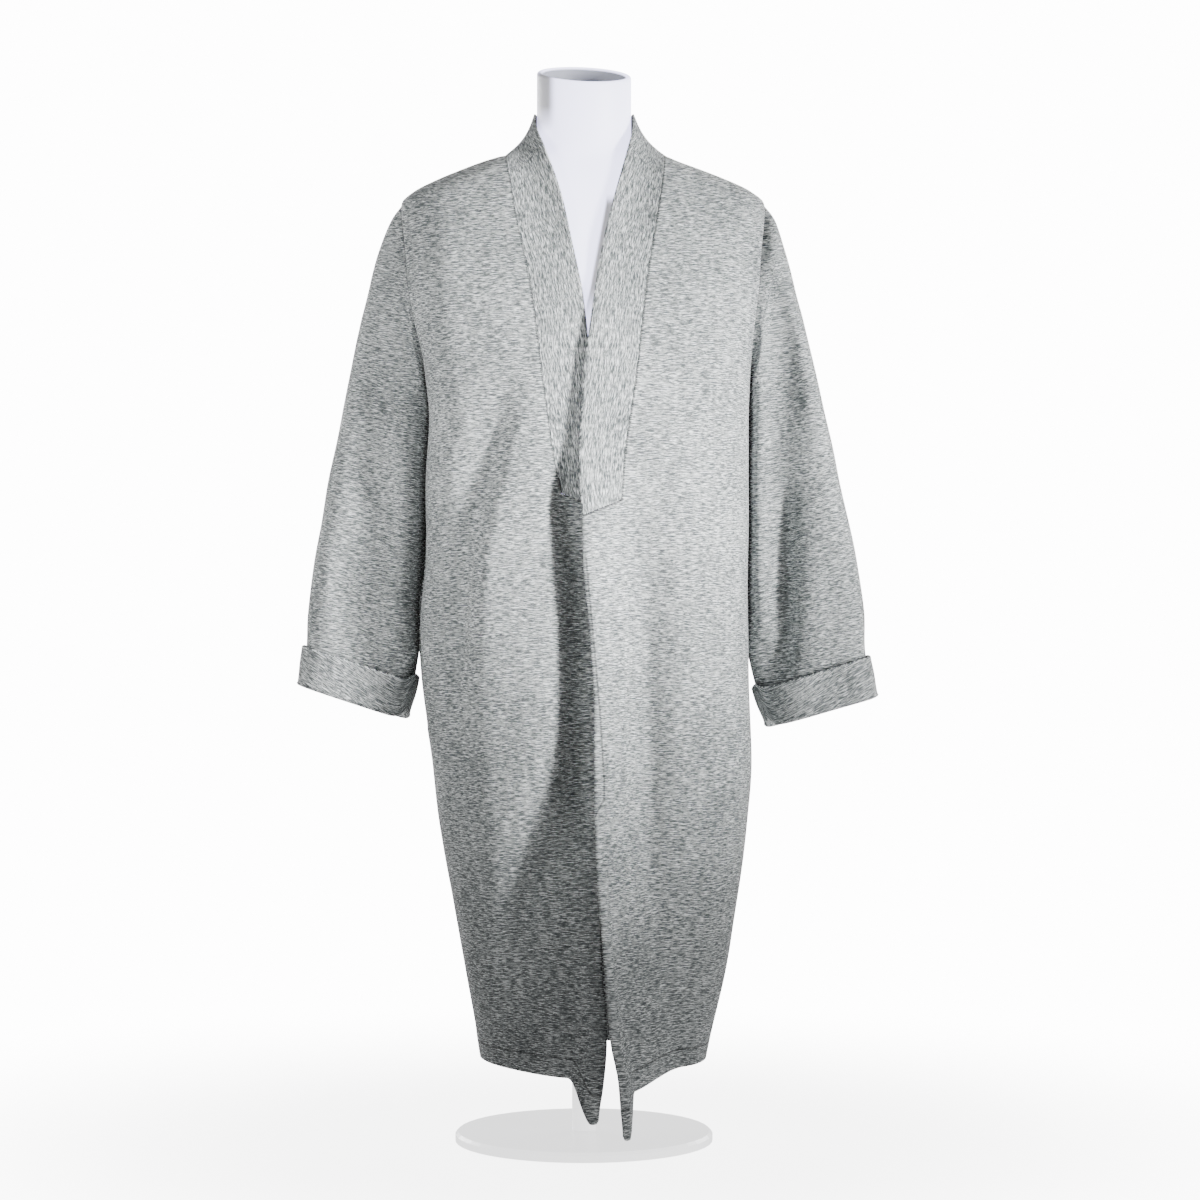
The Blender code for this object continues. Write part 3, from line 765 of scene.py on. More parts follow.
    def point(self, side: Side, face: Face, turn: Array, height: Array) -> Array:
        """A point of the coat's outer surface.

        Args:
            side: The wearer's side.
            face: The front or the back.
            turn: The turn in degrees, as in section.
            height: The heights.

        Returns:
            The points.
        """
        turn, height = together(turn, height)
        spot = self.section(side, turn, height)
        along = unit(self.section(side, turn + 0.5, height) - self.section(side, turn - 0.5, height))
        outward = np.stack([along[..., 1], -along[..., 0], np.zeros_like(height)], axis=-1)
        facing = np.sign((outward[..., :2] * spot[..., :2]).sum(axis=-1, keepdims=True))
        relief = self.relief(face, spot[..., 0], height)[..., None]
        spot = spot + outward * np.where(facing == 0, 1.0, facing) * relief
        if face is Face.FRONT:
            forward, lower = self.edge_lift(side, spot[..., 0], height)
            spot = spot - np.stack([np.zeros_like(forward), forward, lower], axis=-1)
        return spot

    def normal(self, side: Side, face: Face, turn: Array, height: Array) -> Array:
        """The outward direction of the surface.

        Args:
            side: The wearer's side.
            face: The front or the back.
            turn: The turn in degrees, as in section.
            height: The heights.

        Returns:
            Directions of length 1, level at the side seam.
        """
        turn, height = together(turn, height)
        step, inwards = 2.0, 60.0  # to the neighbours, and down to a place inside the coat
        low, high = np.maximum(height - step, HEM), np.minimum(height + step, NECK)
        up = self.point(side, face, turn, high) - self.point(side, face, turn, low)
        across = self.point(side, face, turn + 1, height) - self.point(side, face, turn - 1, height)
        level = np.array([0.0, 1.0, 0.0])
        across = np.where((np.abs(turn) < 1e-6)[..., None], level, across)
        normal = unit(np.cross(across, up))
        centre = np.stack([np.zeros_like(height), np.zeros_like(height), height - inwards], axis=-1)
        out = ((self.point(side, face, turn, height) - centre) * normal).sum(axis=-1, keepdims=True)
        return np.where(out < 0, -normal, normal)

    def armhole_normal(self, side: Side, face: Face, height: Array) -> Array:
        """The wall's direction along the armhole, which turns down under the arm.

        Args:
            side: The wearer's side.
            face: The front or the back.
            height: The heights.

        Returns:
            Directions of length 1.
        """
        outward = self.normal(side, face, self.armhole_turn(face, height), height)
        low = ((SHOULDER - height) / (SHOULDER - UNDERARM))[..., None]
        arch = np.array(self.under_arm) * (side.sign, 1.0, 1.0)
        return unit(outward + (arch - outward) * low**3)

    def heights(self) -> Array:
        """Every row of the panels, from the hem to the neck.

        Returns:
            The heights, close together at the hem, the bands' ends and the armhole's ends.
        """
        armhole = ARMHOLE_MIDDLE - ARMHOLE_HALF * np.cos(np.linspace(0, math.pi, ARMHOLE_STEPS + 1))
        low = np.concatenate([np.linspace(HEM, HEM + 8, 4), np.linspace(HEM + 12, 646, 140)])
        bands_end = np.arange(650, 683, 4)
        high = np.linspace(687, UNDERARM, 26)
        shoulder = np.linspace(SHOULDER, NECK + 6 * TUCK, 16)
        return np.concatenate([low, bands_end, high[:-1], armhole[:-1], shoulder])

    def panel(self, side: Side, face: Face, turn: Array, heights: Array) -> tuple[Array, Array]:
        """One side of a panel, with its seam closed and its armhole's edge turned.

        Args:
            side: The wearer's side.
            face: The front or the back.
            turn: Rows of turns, from the side seam inwards.
            heights: The rows' heights.

        Returns:
            The points and their outward directions.
        """
        outer = self.point(side, face, turn, heights)
        normal = self.normal(side, face, turn, heights)
        level = heights[:, 0]
        arm = (level >= UNDERARM) & (level <= SHOULDER)
        normal[arm, 0] = self.armhole_normal(side, face, level[arm])
        outer[~arm, 0, 1] -= face.value * TUCK
        return outer, normal

    def edge_across(self, side: Side, height: Array) -> Array:
        """How far across a front panel reaches.

        Args:
            side: The wearer's side.
            height: The heights.

        Returns:
            The places across.
        """
        corner, end = self.band_end[side]
        share = np.clip((corner - height) / (corner - end), 0.0, 1.0)
        seam = self.seam_across[side](np.maximum(height, corner))
        free = self.edge_across_at[side](np.minimum(height, end))
        return seam + (free - seam) * share


@dataclass
class FrontPanel:
    """One front of the coat, with its turned hem and its faced front edge.

    Attributes:
        side: The wearer's side.
        columns, edge_columns: Points in a row between its edges, and how many are near the front.
        facing, facing_rise, facing_wall: The facing's width, and how far its double cloth
            stands out and in.
        facing_ramp, facing_start: How softly it begins across, and how far below the band's
            end, and how softly, it begins in height.
        band_seam_reach: How far below the band its seam still shows.
        stitch: The line of the left facing's stitches.
        flat, area: The cut, in metres; not used.
    """

    side: Side
    columns: int = 62
    edge_columns: int = 14
    facing: float = 42.0
    facing_rise: float = 0.45
    facing_wall: float = 0.8
    facing_ramp: float = 3.5
    facing_start: Point = (4.0, 12.0)
    band_seam_reach: float = 30.0
    stitch: tuple[Point, ...] = ((2.5, 612), (10, 530), (17, 452), (21, 385), (21, 366), (9, 344))
    flat: Point = (0.26, 0.98)
    area: float = 0.2

    def shell(self, body: CoatBody) -> Shell:
        """The panel's grid, from the side seam to the front edge.

        Args:
            body: The coat's form.

        Returns:
            The panel as a shell.
        """
        heights = body.heights()[:, None]
        first = body.armhole_turn(Face.FRONT, heights)
        end = body.band_end[self.side][1]
        seam_gap = np.where(heights >= end, self.side.sign * GAP / 2, 0.0)
        across = body.edge_across(self.side, heights) + seam_gap
        last = body.turn_at(self.side, across, heights)
        main = np.linspace(0.012, 0.88, self.columns - self.edge_columns)
        fine = np.linspace(0.89, 0.988, self.edge_columns)
        turn = first + (last - first) * np.concatenate([[0, 0.004], main, fine, [0.994, 1]])
        outer, normal = body.panel(self.side, Face.FRONT, turn, heights)
        tall = np.broadcast_to(heights, turn.shape)
        lengths = row_lengths(outer)
        from_edge = lengths[:, -1:] - lengths
        drop, ramp = self.facing_start
        below = soft_step((end - drop - tall) / ramp)
        faced = soft_step((self.facing - from_edge) / self.facing_ramp) * below
        outer = outer + normal * (self.facing_rise * faced)[..., None]
        inner = outer - normal * (KNIT + self.facing_wall * faced)[..., None]
        band_line = [(float(a), float(h)) for h, a in body.band_seam[self.side]]
        band_line.append((float(body.edge_across_at[self.side](end)), end))
        to_band, _, _ = to_line(outer[..., 0], tall, band_line)
        seam = np.minimum(lengths, np.where(tall > end - self.band_seam_reach, to_band, FAR))
        hem = tall - HEM
        if self.side is Side.LEFT:
            hem = np.minimum(hem, self._from_stitch(outer[..., 0], tall))
        weave = np.stack([self.side.sign * lengths, outer[..., 2]], axis=-1)
        return Shell(outer, inner, weave, seam, hem, round_rows=(1.0, 0.0), round_columns=(0.0, 1.0))

    def _from_stitch(self, across: Array, height: Array) -> Array:
        """Distances that draw the facing's stitches as the hem's are drawn.

        Args:
            across: The points' places across.
            height: Their heights.

        Returns:
            HEM_STITCH on the line of stitches, and more or less beside it.
        """
        away, past, _ = to_line(across, height, self.stitch)
        top, bottom = self.stitch[0][1] + 2, self.stitch[-1][1] - 4
        beside = HEM_STITCH + np.maximum(away * past, -12.0)
        return np.where((height < top) & (height > bottom), beside, FAR)

    def build(self, body: CoatBody, finish: bpy.types.Material) -> None:
        made = self.shell(body).build(f"front_{self.side.value}_cloth", finish)
        declare(made, f"front_{self.side.value}")


@dataclass
class BackPanel:
    """The coat's back, in one piece from side seam to side seam.

    Attributes:
        columns: Points in a row from near a side seam to the middle.
        flat, area: The cut, in metres; not used.
    """

    columns: int = 52
    flat: Point = (0.47, 0.96)
    area: float = 0.4

    def shell(self, body: CoatBody) -> Shell:
        """The panel's grid, from the right side seam to the left one.

        Args:
            body: The coat's form.

        Returns:
            The panel as a shell.
        """
        heights = body.heights()[:, None]
        first = body.armhole_turn(Face.BACK, heights)
        shares = np.concatenate([[0, 0.005], np.linspace(0.016, 1, self.columns)])
        turn = first + (-90 - first) * shares
        right, left = (body.panel(side, Face.BACK, turn, heights) for side in Side)
        outer, normal = (self._joined(*halves) for halves in zip(right, left))
        middle = self.columns + 1
        normal[:, middle] = unit(normal[:, middle - 1] + normal[:, middle + 1])
        from_seam = self._joined(row_lengths(right[0]), row_lengths(left[0]))
        tall = np.broadcast_to(heights, from_seam.shape)
        width = row_lengths(outer)
        weave = np.stack([width - width[:, -1:] / 2, tall], axis=-1)
        seam = np.minimum(from_seam, NECK - tall)
        return Shell(outer, outer - KNIT * normal, weave, seam, tall - HEM, round_rows=(1.0, 0.0))

    @staticmethod
    def _joined(right: Array, left: Array) -> Array:
        """The rows of the right half, then the left half's from the middle outwards."""
        return np.concatenate([right, left[:, -2::-1]], axis=1)

    def build(self, body: CoatBody, finish: bpy.types.Material) -> None:
        made = self.shell(body).build("back_cloth", finish)
        declare(made, "back")


# ---------------------------------------------------------------- the band


@dataclass
class Band:
    """One half of the wide band, from the centre back round the neck to its slanted end.

    Attributes:
        side: The wearer's side.
        thickness: Of its two layers together.
        columns: Points across it, past the first three.
        collar_half, collar_middle, collar_back: The collar rim's half width, the depth of its
            middle and of its back.
        hollow: How far it hollows between its edges round the neck.
        free_above, lies_below: Heights between which it comes to lie on the chest.
        shoulder_turn: Where round the neck the back's part ends, in degrees.
        neck_lean: How far its outward direction leans up at the back's neck.
        end_gap: How far its end stands up from the front's edge.
        painted_slit_shadow: Where a painted shadow marks the gap between the right band's end and the
            front: along and across.
        fold_line: What the distances to its folded edge start from.
        flat, area: The cut, in metres; not used.
        rims: By height, the free edge's place across, its depth and how much higher it is.
    """

    side: Side
    thickness: float = 2.6
    columns: int = 15
    collar_half: float = 52.5
    collar_middle: float = -2.0
    collar_back: float = 60.0
    hollow: float = 5.0
    free_above: float = 960.0
    lies_below: float = 880.0
    shoulder_turn: float = -12.0
    neck_lean: float = 10.0
    end_gap: float = 0.4
    painted_slit_shadow: Place = (3.0, 18.0, 2.2)
    fold_line: float = 15.0
    flat: Point = (0.06, 0.56)
    area: float = 0.025
    rims: dict[Side, tuple[tuple[float, ...], ...]] = field(default_factory=lambda: {
        Side.RIGHT: (
            (1030, -52.5, -2, 46), (1014, -49, -30, 42), (999, -41, -54, 35),
            (962, -24, -78, 22), (917, -12, -99, 12), (866, -1, -114, 8),
            (788, 7, -119, 4), (722, 12, -117, -4), (674, 17, -114, -16),
        ),
        Side.LEFT: (
            (1030, 52.5, -2, 46), (1014, 51, -30, 40), (999, 46, -52, 33),
            (953, 30, -84, 18), (904, 18, -108, 11), (855, 10, -122, 7),
            (793, 2, -128, 4), (709, -3, -129, -2), (666, 0, -127, -16),
        ),
    })

    def rows(self, body: CoatBody) -> tuple[Array, Array, Array]:
        """The band's seam, its outward directions there, and its free edge.

        Args:
            body: The coat's form.

        Returns:
            The seam's points, their outward directions, and the free edge's points.
        """
        sign = self.side.sign
        turns = np.linspace(-90, self.shoulder_turn, 34)
        neck = body.section(self.side, turns, NECK)
        leaning = neck.copy()
        leaning[:, 2] = self.neck_lean
        leaning = unit(leaning)
        angle = np.radians(turns)
        back = self.collar_middle - (self.collar_back - self.collar_middle) * np.sin(angle)
        high = np.full(len(turns), COLLAR)
        rim = np.stack([sign * self.collar_half * np.cos(angle), back, high], axis=-1)
        neck[0, 0] = rim[0, 0] = sign * GAP / 2
        corner = body.band_end[self.side][0]
        heights = np.concatenate([
            np.linspace(NECK - GAP, self.free_above, 26), np.linspace(self.free_above - 3, corner, 96),
        ])
        across = body.edge_across(self.side, heights) - sign * GAP / 2
        turn = body.turn_at(self.side, across, heights)
        seam = body.point(self.side, Face.FRONT, turn, heights)
        outward = body.normal(self.side, Face.FRONT, turn, heights)
        edge = np.stack([column(self.rims[self.side], i)(heights) for i in (1, 2, 3)], axis=-1)
        edge[:, 2] += heights
        seam[-1, 2] += self.end_gap
        edge[-1, 2] += self.end_gap
        return np.concatenate([neck, seam]), np.concatenate([leaning, outward]), np.concatenate([rim, edge])

    def shell(self, body: CoatBody) -> Shell:
        """The band's grid, from its seam to its folded edge.

        Args:
            body: The coat's form.

        Returns:
            The band as a shell.
        """
        seam, seam_out, rim = self.rows(body)
        shares = np.concatenate([[0, 0.02, 0.06], np.linspace(0.12, 1, self.columns)])
        outer = seam[:, None] + (rim - seam)[:, None] * shares[None, :, None]
        along = np.gradient(rim, axis=0)
        face = np.cross(along, rim - seam)
        face[0, 0] = 0.0
        face = unit(face) * np.sign((face * seam_out).sum(axis=-1, keepdims=True))
        blend = soft_step(shares * 2)[None, :, None]
        outward = unit(seam_out[:, None] + (face - seam_out)[:, None] * blend)
        outer, outward = self._lying(body, outer, outward, shares)
        inner = outer - self.thickness * outward
        length = running(np.linalg.norm(np.diff(rim + seam, axis=0) / 2, axis=-1))
        width = row_lengths(outer)
        end = (length[-1] - length)[:, None]
        weave = np.stack([np.broadcast_to(length[:, None], width.shape), width], axis=-1)
        sewn = np.minimum(width, end + np.zeros_like(width))
        # Painted shadow in the gap at the right band's end.
        if self.side is Side.RIGHT:
            first, last, across = self.painted_slit_shadow
            sewn = np.where((end > first) & (end < last) & (width < across), -2.0, sewn)
        hem = width[:, -1:] - width + self.fold_line
        return Shell(outer, inner, weave, sewn, hem, round_rows=(0.0, 0.0), round_columns=(0.0, 1.1))

    def _lying(self, body: CoatBody, outer: Array, outward: Array, shares: Array) -> tuple[Array, Array]:
        """Hollows the band round the neck and lays it on the chest.

        Args:
            body: The coat's form.
            outer: The band's straight points.
            outward: Their outward directions.
            shares: How far across the band each column is.

        Returns:
            The points and directions as they lie.
        """
        high = outer[..., 2]
        lies = soft_step((self.free_above - high) / (self.free_above - self.lies_below))
        hollow = self.hollow * np.sin(np.pi * shares)[None] * (1 - lies)
        outer = outer - outward * hollow[..., None]
        lies = np.where(shares[None] == 0, 0.0, lies)[..., None]
        clipped = np.minimum(outer[..., 2], NECK)
        turn = body.turn_at(self.side, outer[..., 0], clipped)
        depth = body.point(self.side, Face.FRONT, turn, clipped)[..., 1:2]
        flat = body.normal(self.side, Face.FRONT, turn, clipped)
        lain = outer.copy()
        lain[..., 1:2] += (depth - outer[..., 1:2]) * lies
        return lain, unit(outward + (flat - outward) * lies)

    def build(self, body: CoatBody, finish: bpy.types.Material) -> None:
        """Args:
            body: The coat's form.
            finish: The band's material.
        """
        side = self.side.value
        made = self.shell(body).build(f"band_{side}_cloth", finish)
        declare(made, f"band_{side}")


# ---------------------------------------------------------------- sleeves and cuffs


# Down each sleeve: place across and height of its outer side, then of its inner side, the
# depth of its middle, its half depth and how square it is.
SLEEVE_STATIONS = {
    Side.RIGHT: (
        (203, 963, 162.6, 783.5, 4, 51, 2.6),
        (216, 930, 161.9, 780, 11, 55, 2.6),
        (227, 891, 161.5, 776, 18, 58, 2.6),
        (238, 845, 160.6, 770, 23, 60, 2.6),
        (247, 804, 159.8, 759, 27, 61, 2.6),
        (256, 757, 160, 730, 29, 61, 2.6),
        (271, 682, 165, 653, 30, 59, 2.6),
        (285, 604, 170, 574, 30, 56, 2.7),
        (291, 549, 174, 517, 28, 52, 2.8),
        (292, 519, 179, 484, 25, 48, 2.8),
        (299, 480, 187, 443, 22, 45, 3.0),
    ),
    Side.LEFT: (
        (200, 963, 174.3, 783.5, 4, 51, 2.6),
        (211, 930, 173.5, 780, 11, 55, 2.6),
        (223, 888, 172.6, 776, 18, 58, 2.6),
        (236, 840, 172.0, 770, 23, 60, 2.6),
        (247, 796, 171.8, 759, 27, 61, 2.6),
        (256, 754, 171.3, 730, 29, 61, 2.6),
        (271.5, 681, 171, 653, 30, 59, 2.6),
        (287, 607, 171, 574, 30, 56, 2.7),
        (295, 556, 172.5, 522, 28, 52, 2.8),
        (296, 511, 181, 475, 25, 48, 2.8),
        (306, 468, 193, 434, 22, 45, 3.0),
    ),
}

# The soft folds on the front of each sleeve.
SLEEVE_FOLDS = {
    Side.RIGHT: (
        Crease(((-192, 800), (-191, 700), (-188, 640), (-184, 590)), 10, 7, 2.6),
        Crease(((-178, 640), (-176, 580), (-172, 530)), 8, 10, -2.5),
        Crease(((-246, 640), (-242, 560), (-234, 505)), 12, 16, -3.0),
        Crease(((-174, 518), (-188, 496), (-196, 478)), 4, 4, 4.5, 0.4),
        Crease(((-222, 900), (-216, 800), (-216, 700), (-214, 590)), 16, 20, -5.5),
        Crease(((-176, 800), (-200, 776), (-228, 770)), 8, 12, -2.4),
        Crease(((-270, 640), (-268, 560), (-266, 500)), 12, 12, 1.6),
    ),
    Side.LEFT: (
        Crease(
            ((204, 890), (206, 800), (207, 700), (208, 600), (207, 530), (202, 470)), 16, 22, -9.0, 0.5
        ),
        Crease(((207, 690), (208, 600), (207, 520), (202, 450)), 14, 20, -11.0, 0.6),
        Crease(((190, 620), (190, 560), (196, 500)), 10, 10, 2.0),
        Crease(((236, 640), (240, 560), (238, 500)), 14, 14, 2.2),
        Crease(((214, 900), (222, 800), (232, 700)), 18, 18, -2.0),
        Crease(((182, 800), (204, 776), (232, 772)), 12, 8, -2.2),
        Crease(((262, 600), (272, 530), (276, 500)), 14, 14, -1.8),
    ),
}

# The same behind, where the photo shows nothing.
SLEEVE_REAR_FOLDS = {
    Side.RIGHT: (
        Crease(((-228, 860), (-220, 720), (-214, 560)), 16, 16, -3.0),
        Crease(((-202, 780), (-248, 640)), 16, 16, 2.4),
    ),
    Side.LEFT: (
        Crease(((228, 860), (236, 720), (242, 560)), 16, 16, -3.0),
        Crease(((202, 780), (208, 640)), 16, 16, 2.4),
    ),
}

# How the inner side of each sleeve swells forwards, towards the front.
SLEEVE_SWELLS = {
    Side.RIGHT: Crease(
        ((-175, 760), (-176, 660), (-180, 580), (-186, 510), (-190, 460)), 12, 28, 15.0, 0.4
    ),
    Side.LEFT: Crease(
        ((178, 910), (179, 800), (178, 700), (179, 600), (184, 520)), 10, 7, 14.0, 0.3
    ),
}


@dataclass
class Sleeve:
    """A wide sleeve from the armhole to its turned-up end, with the cuff on it.

    Attributes:
        side: The wearer's side.
        body: The coat's form.
        around, rows: Points round each ring, and rings down the sleeve.
        head_keeps: How much of the armhole's shape the first two stations keep.
        rear_hang, mouth_rise: How far the end's rear hangs and its front inner side rises.
        front_squarer: How much squarer the front half is.
        skew: How far the front half leans forward on the outer side.
        under_arm: How wide the part under the arm is that keeps its station's shape, in radians.
        mouth_at: Where on the end's ring its inner side rises most, and how wide, in degrees.
        ripple: The size and span of its unevenness.
        head_fade, end_fade: How far the folds take to begin at the armhole and to end.
        seam_turn: How far its surface takes to turn from the body's direction.
        flat, area: The sleeve's cut, in metres; not used.
        cuff_flat: The cuff's cut, in metres; not used.
        cuff_high, cuff_gap, cuff_flare: The cuff's height, how far it stands off the sleeve,
            and how much more at its top.
        cuff_bulge: How far the cuff swells, how high up, and how tall the swell is.
    """

    side: Side
    body: CoatBody
    around: int = 2 * ARMHOLE_STEPS
    rows: int = 150
    head_keeps: Point = (0.45, 0.15)
    rear_hang: float = 4.0
    front_squarer: float = 0.9
    skew: dict[Side, float] = field(default_factory=lambda: {Side.RIGHT: 0.0, Side.LEFT: 14.0})
    mouth_rise: float = 12.0
    under_arm: float = 0.45
    mouth_at: Point = (165.0, 22.0)
    ripple: Point = (0.7, 70.0)
    head_fade: float = 24.0
    end_fade: float = 60.0
    seam_turn: float = 12.0
    flat: Point = (0.4, 0.55)
    area: float = 0.165
    cuff_flat: Point = (0.4, 0.05)
    cuff_high: float = 39.0
    cuff_gap: float = 0.5
    cuff_flare: float = 2.2
    cuff_bulge: Place = (0.8, 20.0, 12.0)

    def armhole(self) -> tuple[Array, Array]:
        """The armhole's edge.

        Returns:
            Its ring of points, and the body's outward directions there.
        """
        height = ARMHOLE_MIDDLE + ARMHOLE_HALF * np.cos(full_turn(self.around))
        ring, out = np.zeros((self.around, 3)), np.zeros((self.around, 3))
        at_front = np.arange(self.around) <= self.around // 2
        for face, chosen in ((Face.FRONT, at_front), (Face.BACK, ~at_front)):
            tall = height[chosen]
            turn = self.body.armhole_turn(face, tall)
            ring[chosen] = self.body.point(self.side, face, turn, tall)
            out[chosen] = self.body.armhole_normal(self.side, face, tall)
        return ring, out

    def station(self, row: Sequence[float]) -> Array:
        """The ring of one row of the table.

        Args:
            row: The row.

        Returns:
            The ring's points, in step with the armhole's.
        """
        outer_x, outer_z, inner_x, inner_z, middle, depth, power = row
        outer = np.array([self.side.sign * outer_x, 0.0, outer_z])
        inner = np.array([self.side.sign * inner_x, 0.0, inner_z])
        centre = (outer + inner) / 2 + np.array([0.0, middle, 0.0])
        angle = full_turn(self.around)
        in_front = np.sin(angle) > 0
        along, deep = oval(angle, np.where(in_front, power + self.front_squarer, power))
        lean = self.skew[self.side] * np.where(in_front, np.sin(2 * angle), 0.0)
        forward = np.stack([np.zeros_like(deep), -depth * deep - lean, np.zeros_like(deep)], axis=-1)
        return centre + (outer - inner) / 2 * along[:, None] + forward

    def rings(self) -> tuple[Array, Array]:
        """The sleeve's rings, from the armhole down to its end.

        Returns:
            The rings, and the outward directions at the armhole.
        """
        start, outward = self.armhole()
        along = np.roll(start, -1, axis=0) - np.roll(start, 1, axis=0)
        inward = unit(np.cross(outward, along))
        if (inward * (start.mean(axis=0) - start)).sum() < 0:
            inward = -inward
        rings = [start + GAP * inward] + [self.station(row) for row in SLEEVE_STATIONS[self.side]]
        angle = full_turn(self.around)
        under = 1 - np.exp(-(((angle - math.pi) / self.under_arm) ** 2))[:, None]
        for k, keep in enumerate(self.head_keeps, start=1):
            shift = rings[k].mean(axis=0) - start.mean(axis=0)
            rings[k] = rings[k] + keep * under * (start + shift - rings[k])
        rear = np.maximum(-np.sin(angle), 0.0)
        middle, spread = (math.radians(turn) for turn in self.mouth_at)
        front_inner = np.exp(-(((angle - middle) / spread) ** 2))
        for k, share in ((-1, 1.0), (-2, 0.5)):
            rings[k][:, 2] += share * (self.mouth_rise * front_inner - self.rear_hang * rear)
        return np.array(rings), outward

    def surface(self) -> tuple[Array, Array, Array, Array]:
        """The sleeve's smooth outer surface.

        Returns:
            The points, their outward directions, how far down the sleeve each row is, and the
            points without their troughs, which the cuff bridges.
        """
        rings, armhole_out = self.rings()
        knots = running(np.linalg.norm(np.diff(rings, axis=0), axis=-1).mean(axis=1))
        at = knots[-1] * np.linspace(0, 1, self.rows)
        grid = through(knots, rings, at)
        normal = self._normals(grid)
        front = soft_step(-normal[..., 1] * 2.5 + 0.2)
        across, height = grid[..., 0], grid[..., 2]
        relief = Ripple(*self.ripple, 2.0 + self.side.sign).at(across, height)
        for fold in SLEEVE_FOLDS[self.side]:
            relief = relief + fold.at(across, height) * front
        for fold in SLEEVE_REAR_FOLDS[self.side]:
            relief = relief + fold.at(across, height) * (1 - front)
        fade = soft_step(at / self.head_fade)[:, None]
        fade = fade * soft_step((knots[-1] - at) / self.end_fade)[:, None]
        grid[..., 1] -= SLEEVE_SWELLS[self.side].at(across, height) * front * fade
        bridged = grid + normal * (np.maximum(relief, 0.0) * fade)[..., None]
        grid = grid + normal * (relief * fade)[..., None]
        normal = self._normals(grid)
        near = (1 - soft_step(at / self.seam_turn))[:, None, None]
        normal = unit(normal + (armhole_out[None] - normal) * near)
        return grid, normal, at, bridged

    @staticmethod
    def _normals(grid: Array) -> Array:
        """Outward directions of a tube of rings.

        Args:
            grid: The rings' points.

        Returns:
            Directions of length 1.
        """
        around = np.roll(grid, -1, axis=1) - np.roll(grid, 1, axis=1)
        normal = unit(np.cross(around, np.gradient(grid, axis=0)))
        out = grid - grid.mean(axis=1, keepdims=True)
        return -normal if (normal * out).sum() < 0 else normal

    def weave(self, grid: Array) -> Array:
        """Places on the cloth, measured from its underarm seam.

        Args:
            grid: Rings of points down the sleeve.

        Returns:
            For each point the way round the sleeve and the way along its axis.
        """
        rings = grid.mean(axis=1)
        has_length = np.ptp(rings, axis=0).max() > 1
        axis = unit(rings[-1] - rings[0]) if has_length else np.array([0.0, 0.0, -1.0])
        half = self.around // 2
        steps = np.linalg.norm(np.roll(grid, -1, axis=1) - grid, axis=-1)
        front = np.cumsum(steps[:, half - 1 :: -1], axis=1)[:, ::-1]
        rear = np.cumsum(steps[:, half:], axis=1)
        rear = rear * front[:, :1] / rear[:, -1:]
        seam = np.zeros((len(grid), 1))
        round_it = np.concatenate([front, seam, rear[:, :-1]], axis=1)
        return np.stack([round_it, (grid * axis).sum(axis=-1)], axis=-1)

    def build(self, knit: bpy.types.Material, cuff_knit: bpy.types.Material) -> None:
        """Args:
            knit: The sleeve's material.
            cuff_knit: The cuff's material.
        """
        grid, normal, at, bridged = self.surface()
        every = np.zeros(grid.shape[:2])
        seam = np.minimum(every + FAR, at[:, None])
        # The distance above the cuff's top edge, which the painted shadow there is drawn from.
        above = every + np.maximum(at[-1] - self.cuff_high - at, 0.0)[:, None]
        inner = grid - KNIT * normal
        sleeve = Shell(grid, inner, self.weave(grid), seam, above, closed=True, round_rows=(0.0, 0.3))
        side = self.side.value
        made = sleeve.build(f"sleeve_{side}_cloth", knit)
        declare(made, f"sleeve_{side}")
        made = self._cuff(bridged, at).build(f"cuff_{side}_cloth", cuff_knit)
        declare(made, f"cuff_{side}")

    def _cuff(self, grid: Array, at: Array) -> Shell:
        """The turned-up end: a fold under the sleeve's rim and a layer up its outside.

        Args:
            grid: The sleeve's outer points, without their troughs.
            at: How far down the sleeve each row is.

        Returns:
            The cuff as a shell.
        """
        normal = self._normals(grid)
        high = self.cuff_high
        ups = np.concatenate([[0, 0.6, 1.5, 3], np.linspace(5, high - 2, 12), [high - 1, high - 0.4, high]])
        lain = through(at, grid, at[-1] - ups)
        out = unit(through(at, normal, at[-1] - ups))
        stand = self.cuff_gap + self.cuff_flare * soft_step(ups / high)
        inner = lain + out * stand[:, None, None]
        size, middle, spread = self.cuff_bulge
        bulge = size * np.exp(-((ups - middle) / spread) ** 2)
        outer = inner + out * KNIT + out * bulge[:, None, None]
        fold_out, fold_in = self._fold(grid, normal)
        outer = np.concatenate([fold_out, outer])
        inner = np.concatenate([fold_in, inner])
        run = running(np.linalg.norm(np.diff(outer, axis=0), axis=-1).mean(axis=1))
        lowest, level = 5, 5  # the ring under the rim, and the one whose places all take
        weave = self.weave(np.broadcast_to(lain[level][None], outer.shape))
        weave = np.stack([weave[..., 0], weave[..., 1] + run[:, None]], axis=-1)
        every = np.zeros(outer.shape[:2])
        # The cuff's top edge takes the seam's line: a painted highlight on the right cuff and painted shade
        # on the left.
        top = every + (run[-1] - run)[:, None]
        # The right cuff's dashed dark line 3.5 mm above the fold is painted shade of the groove there.
        fold = every + (run - run[lowest])[:, None]
        return Shell(outer, inner, weave, top, fold, closed=True, round_rows=(0.2, 0.9))

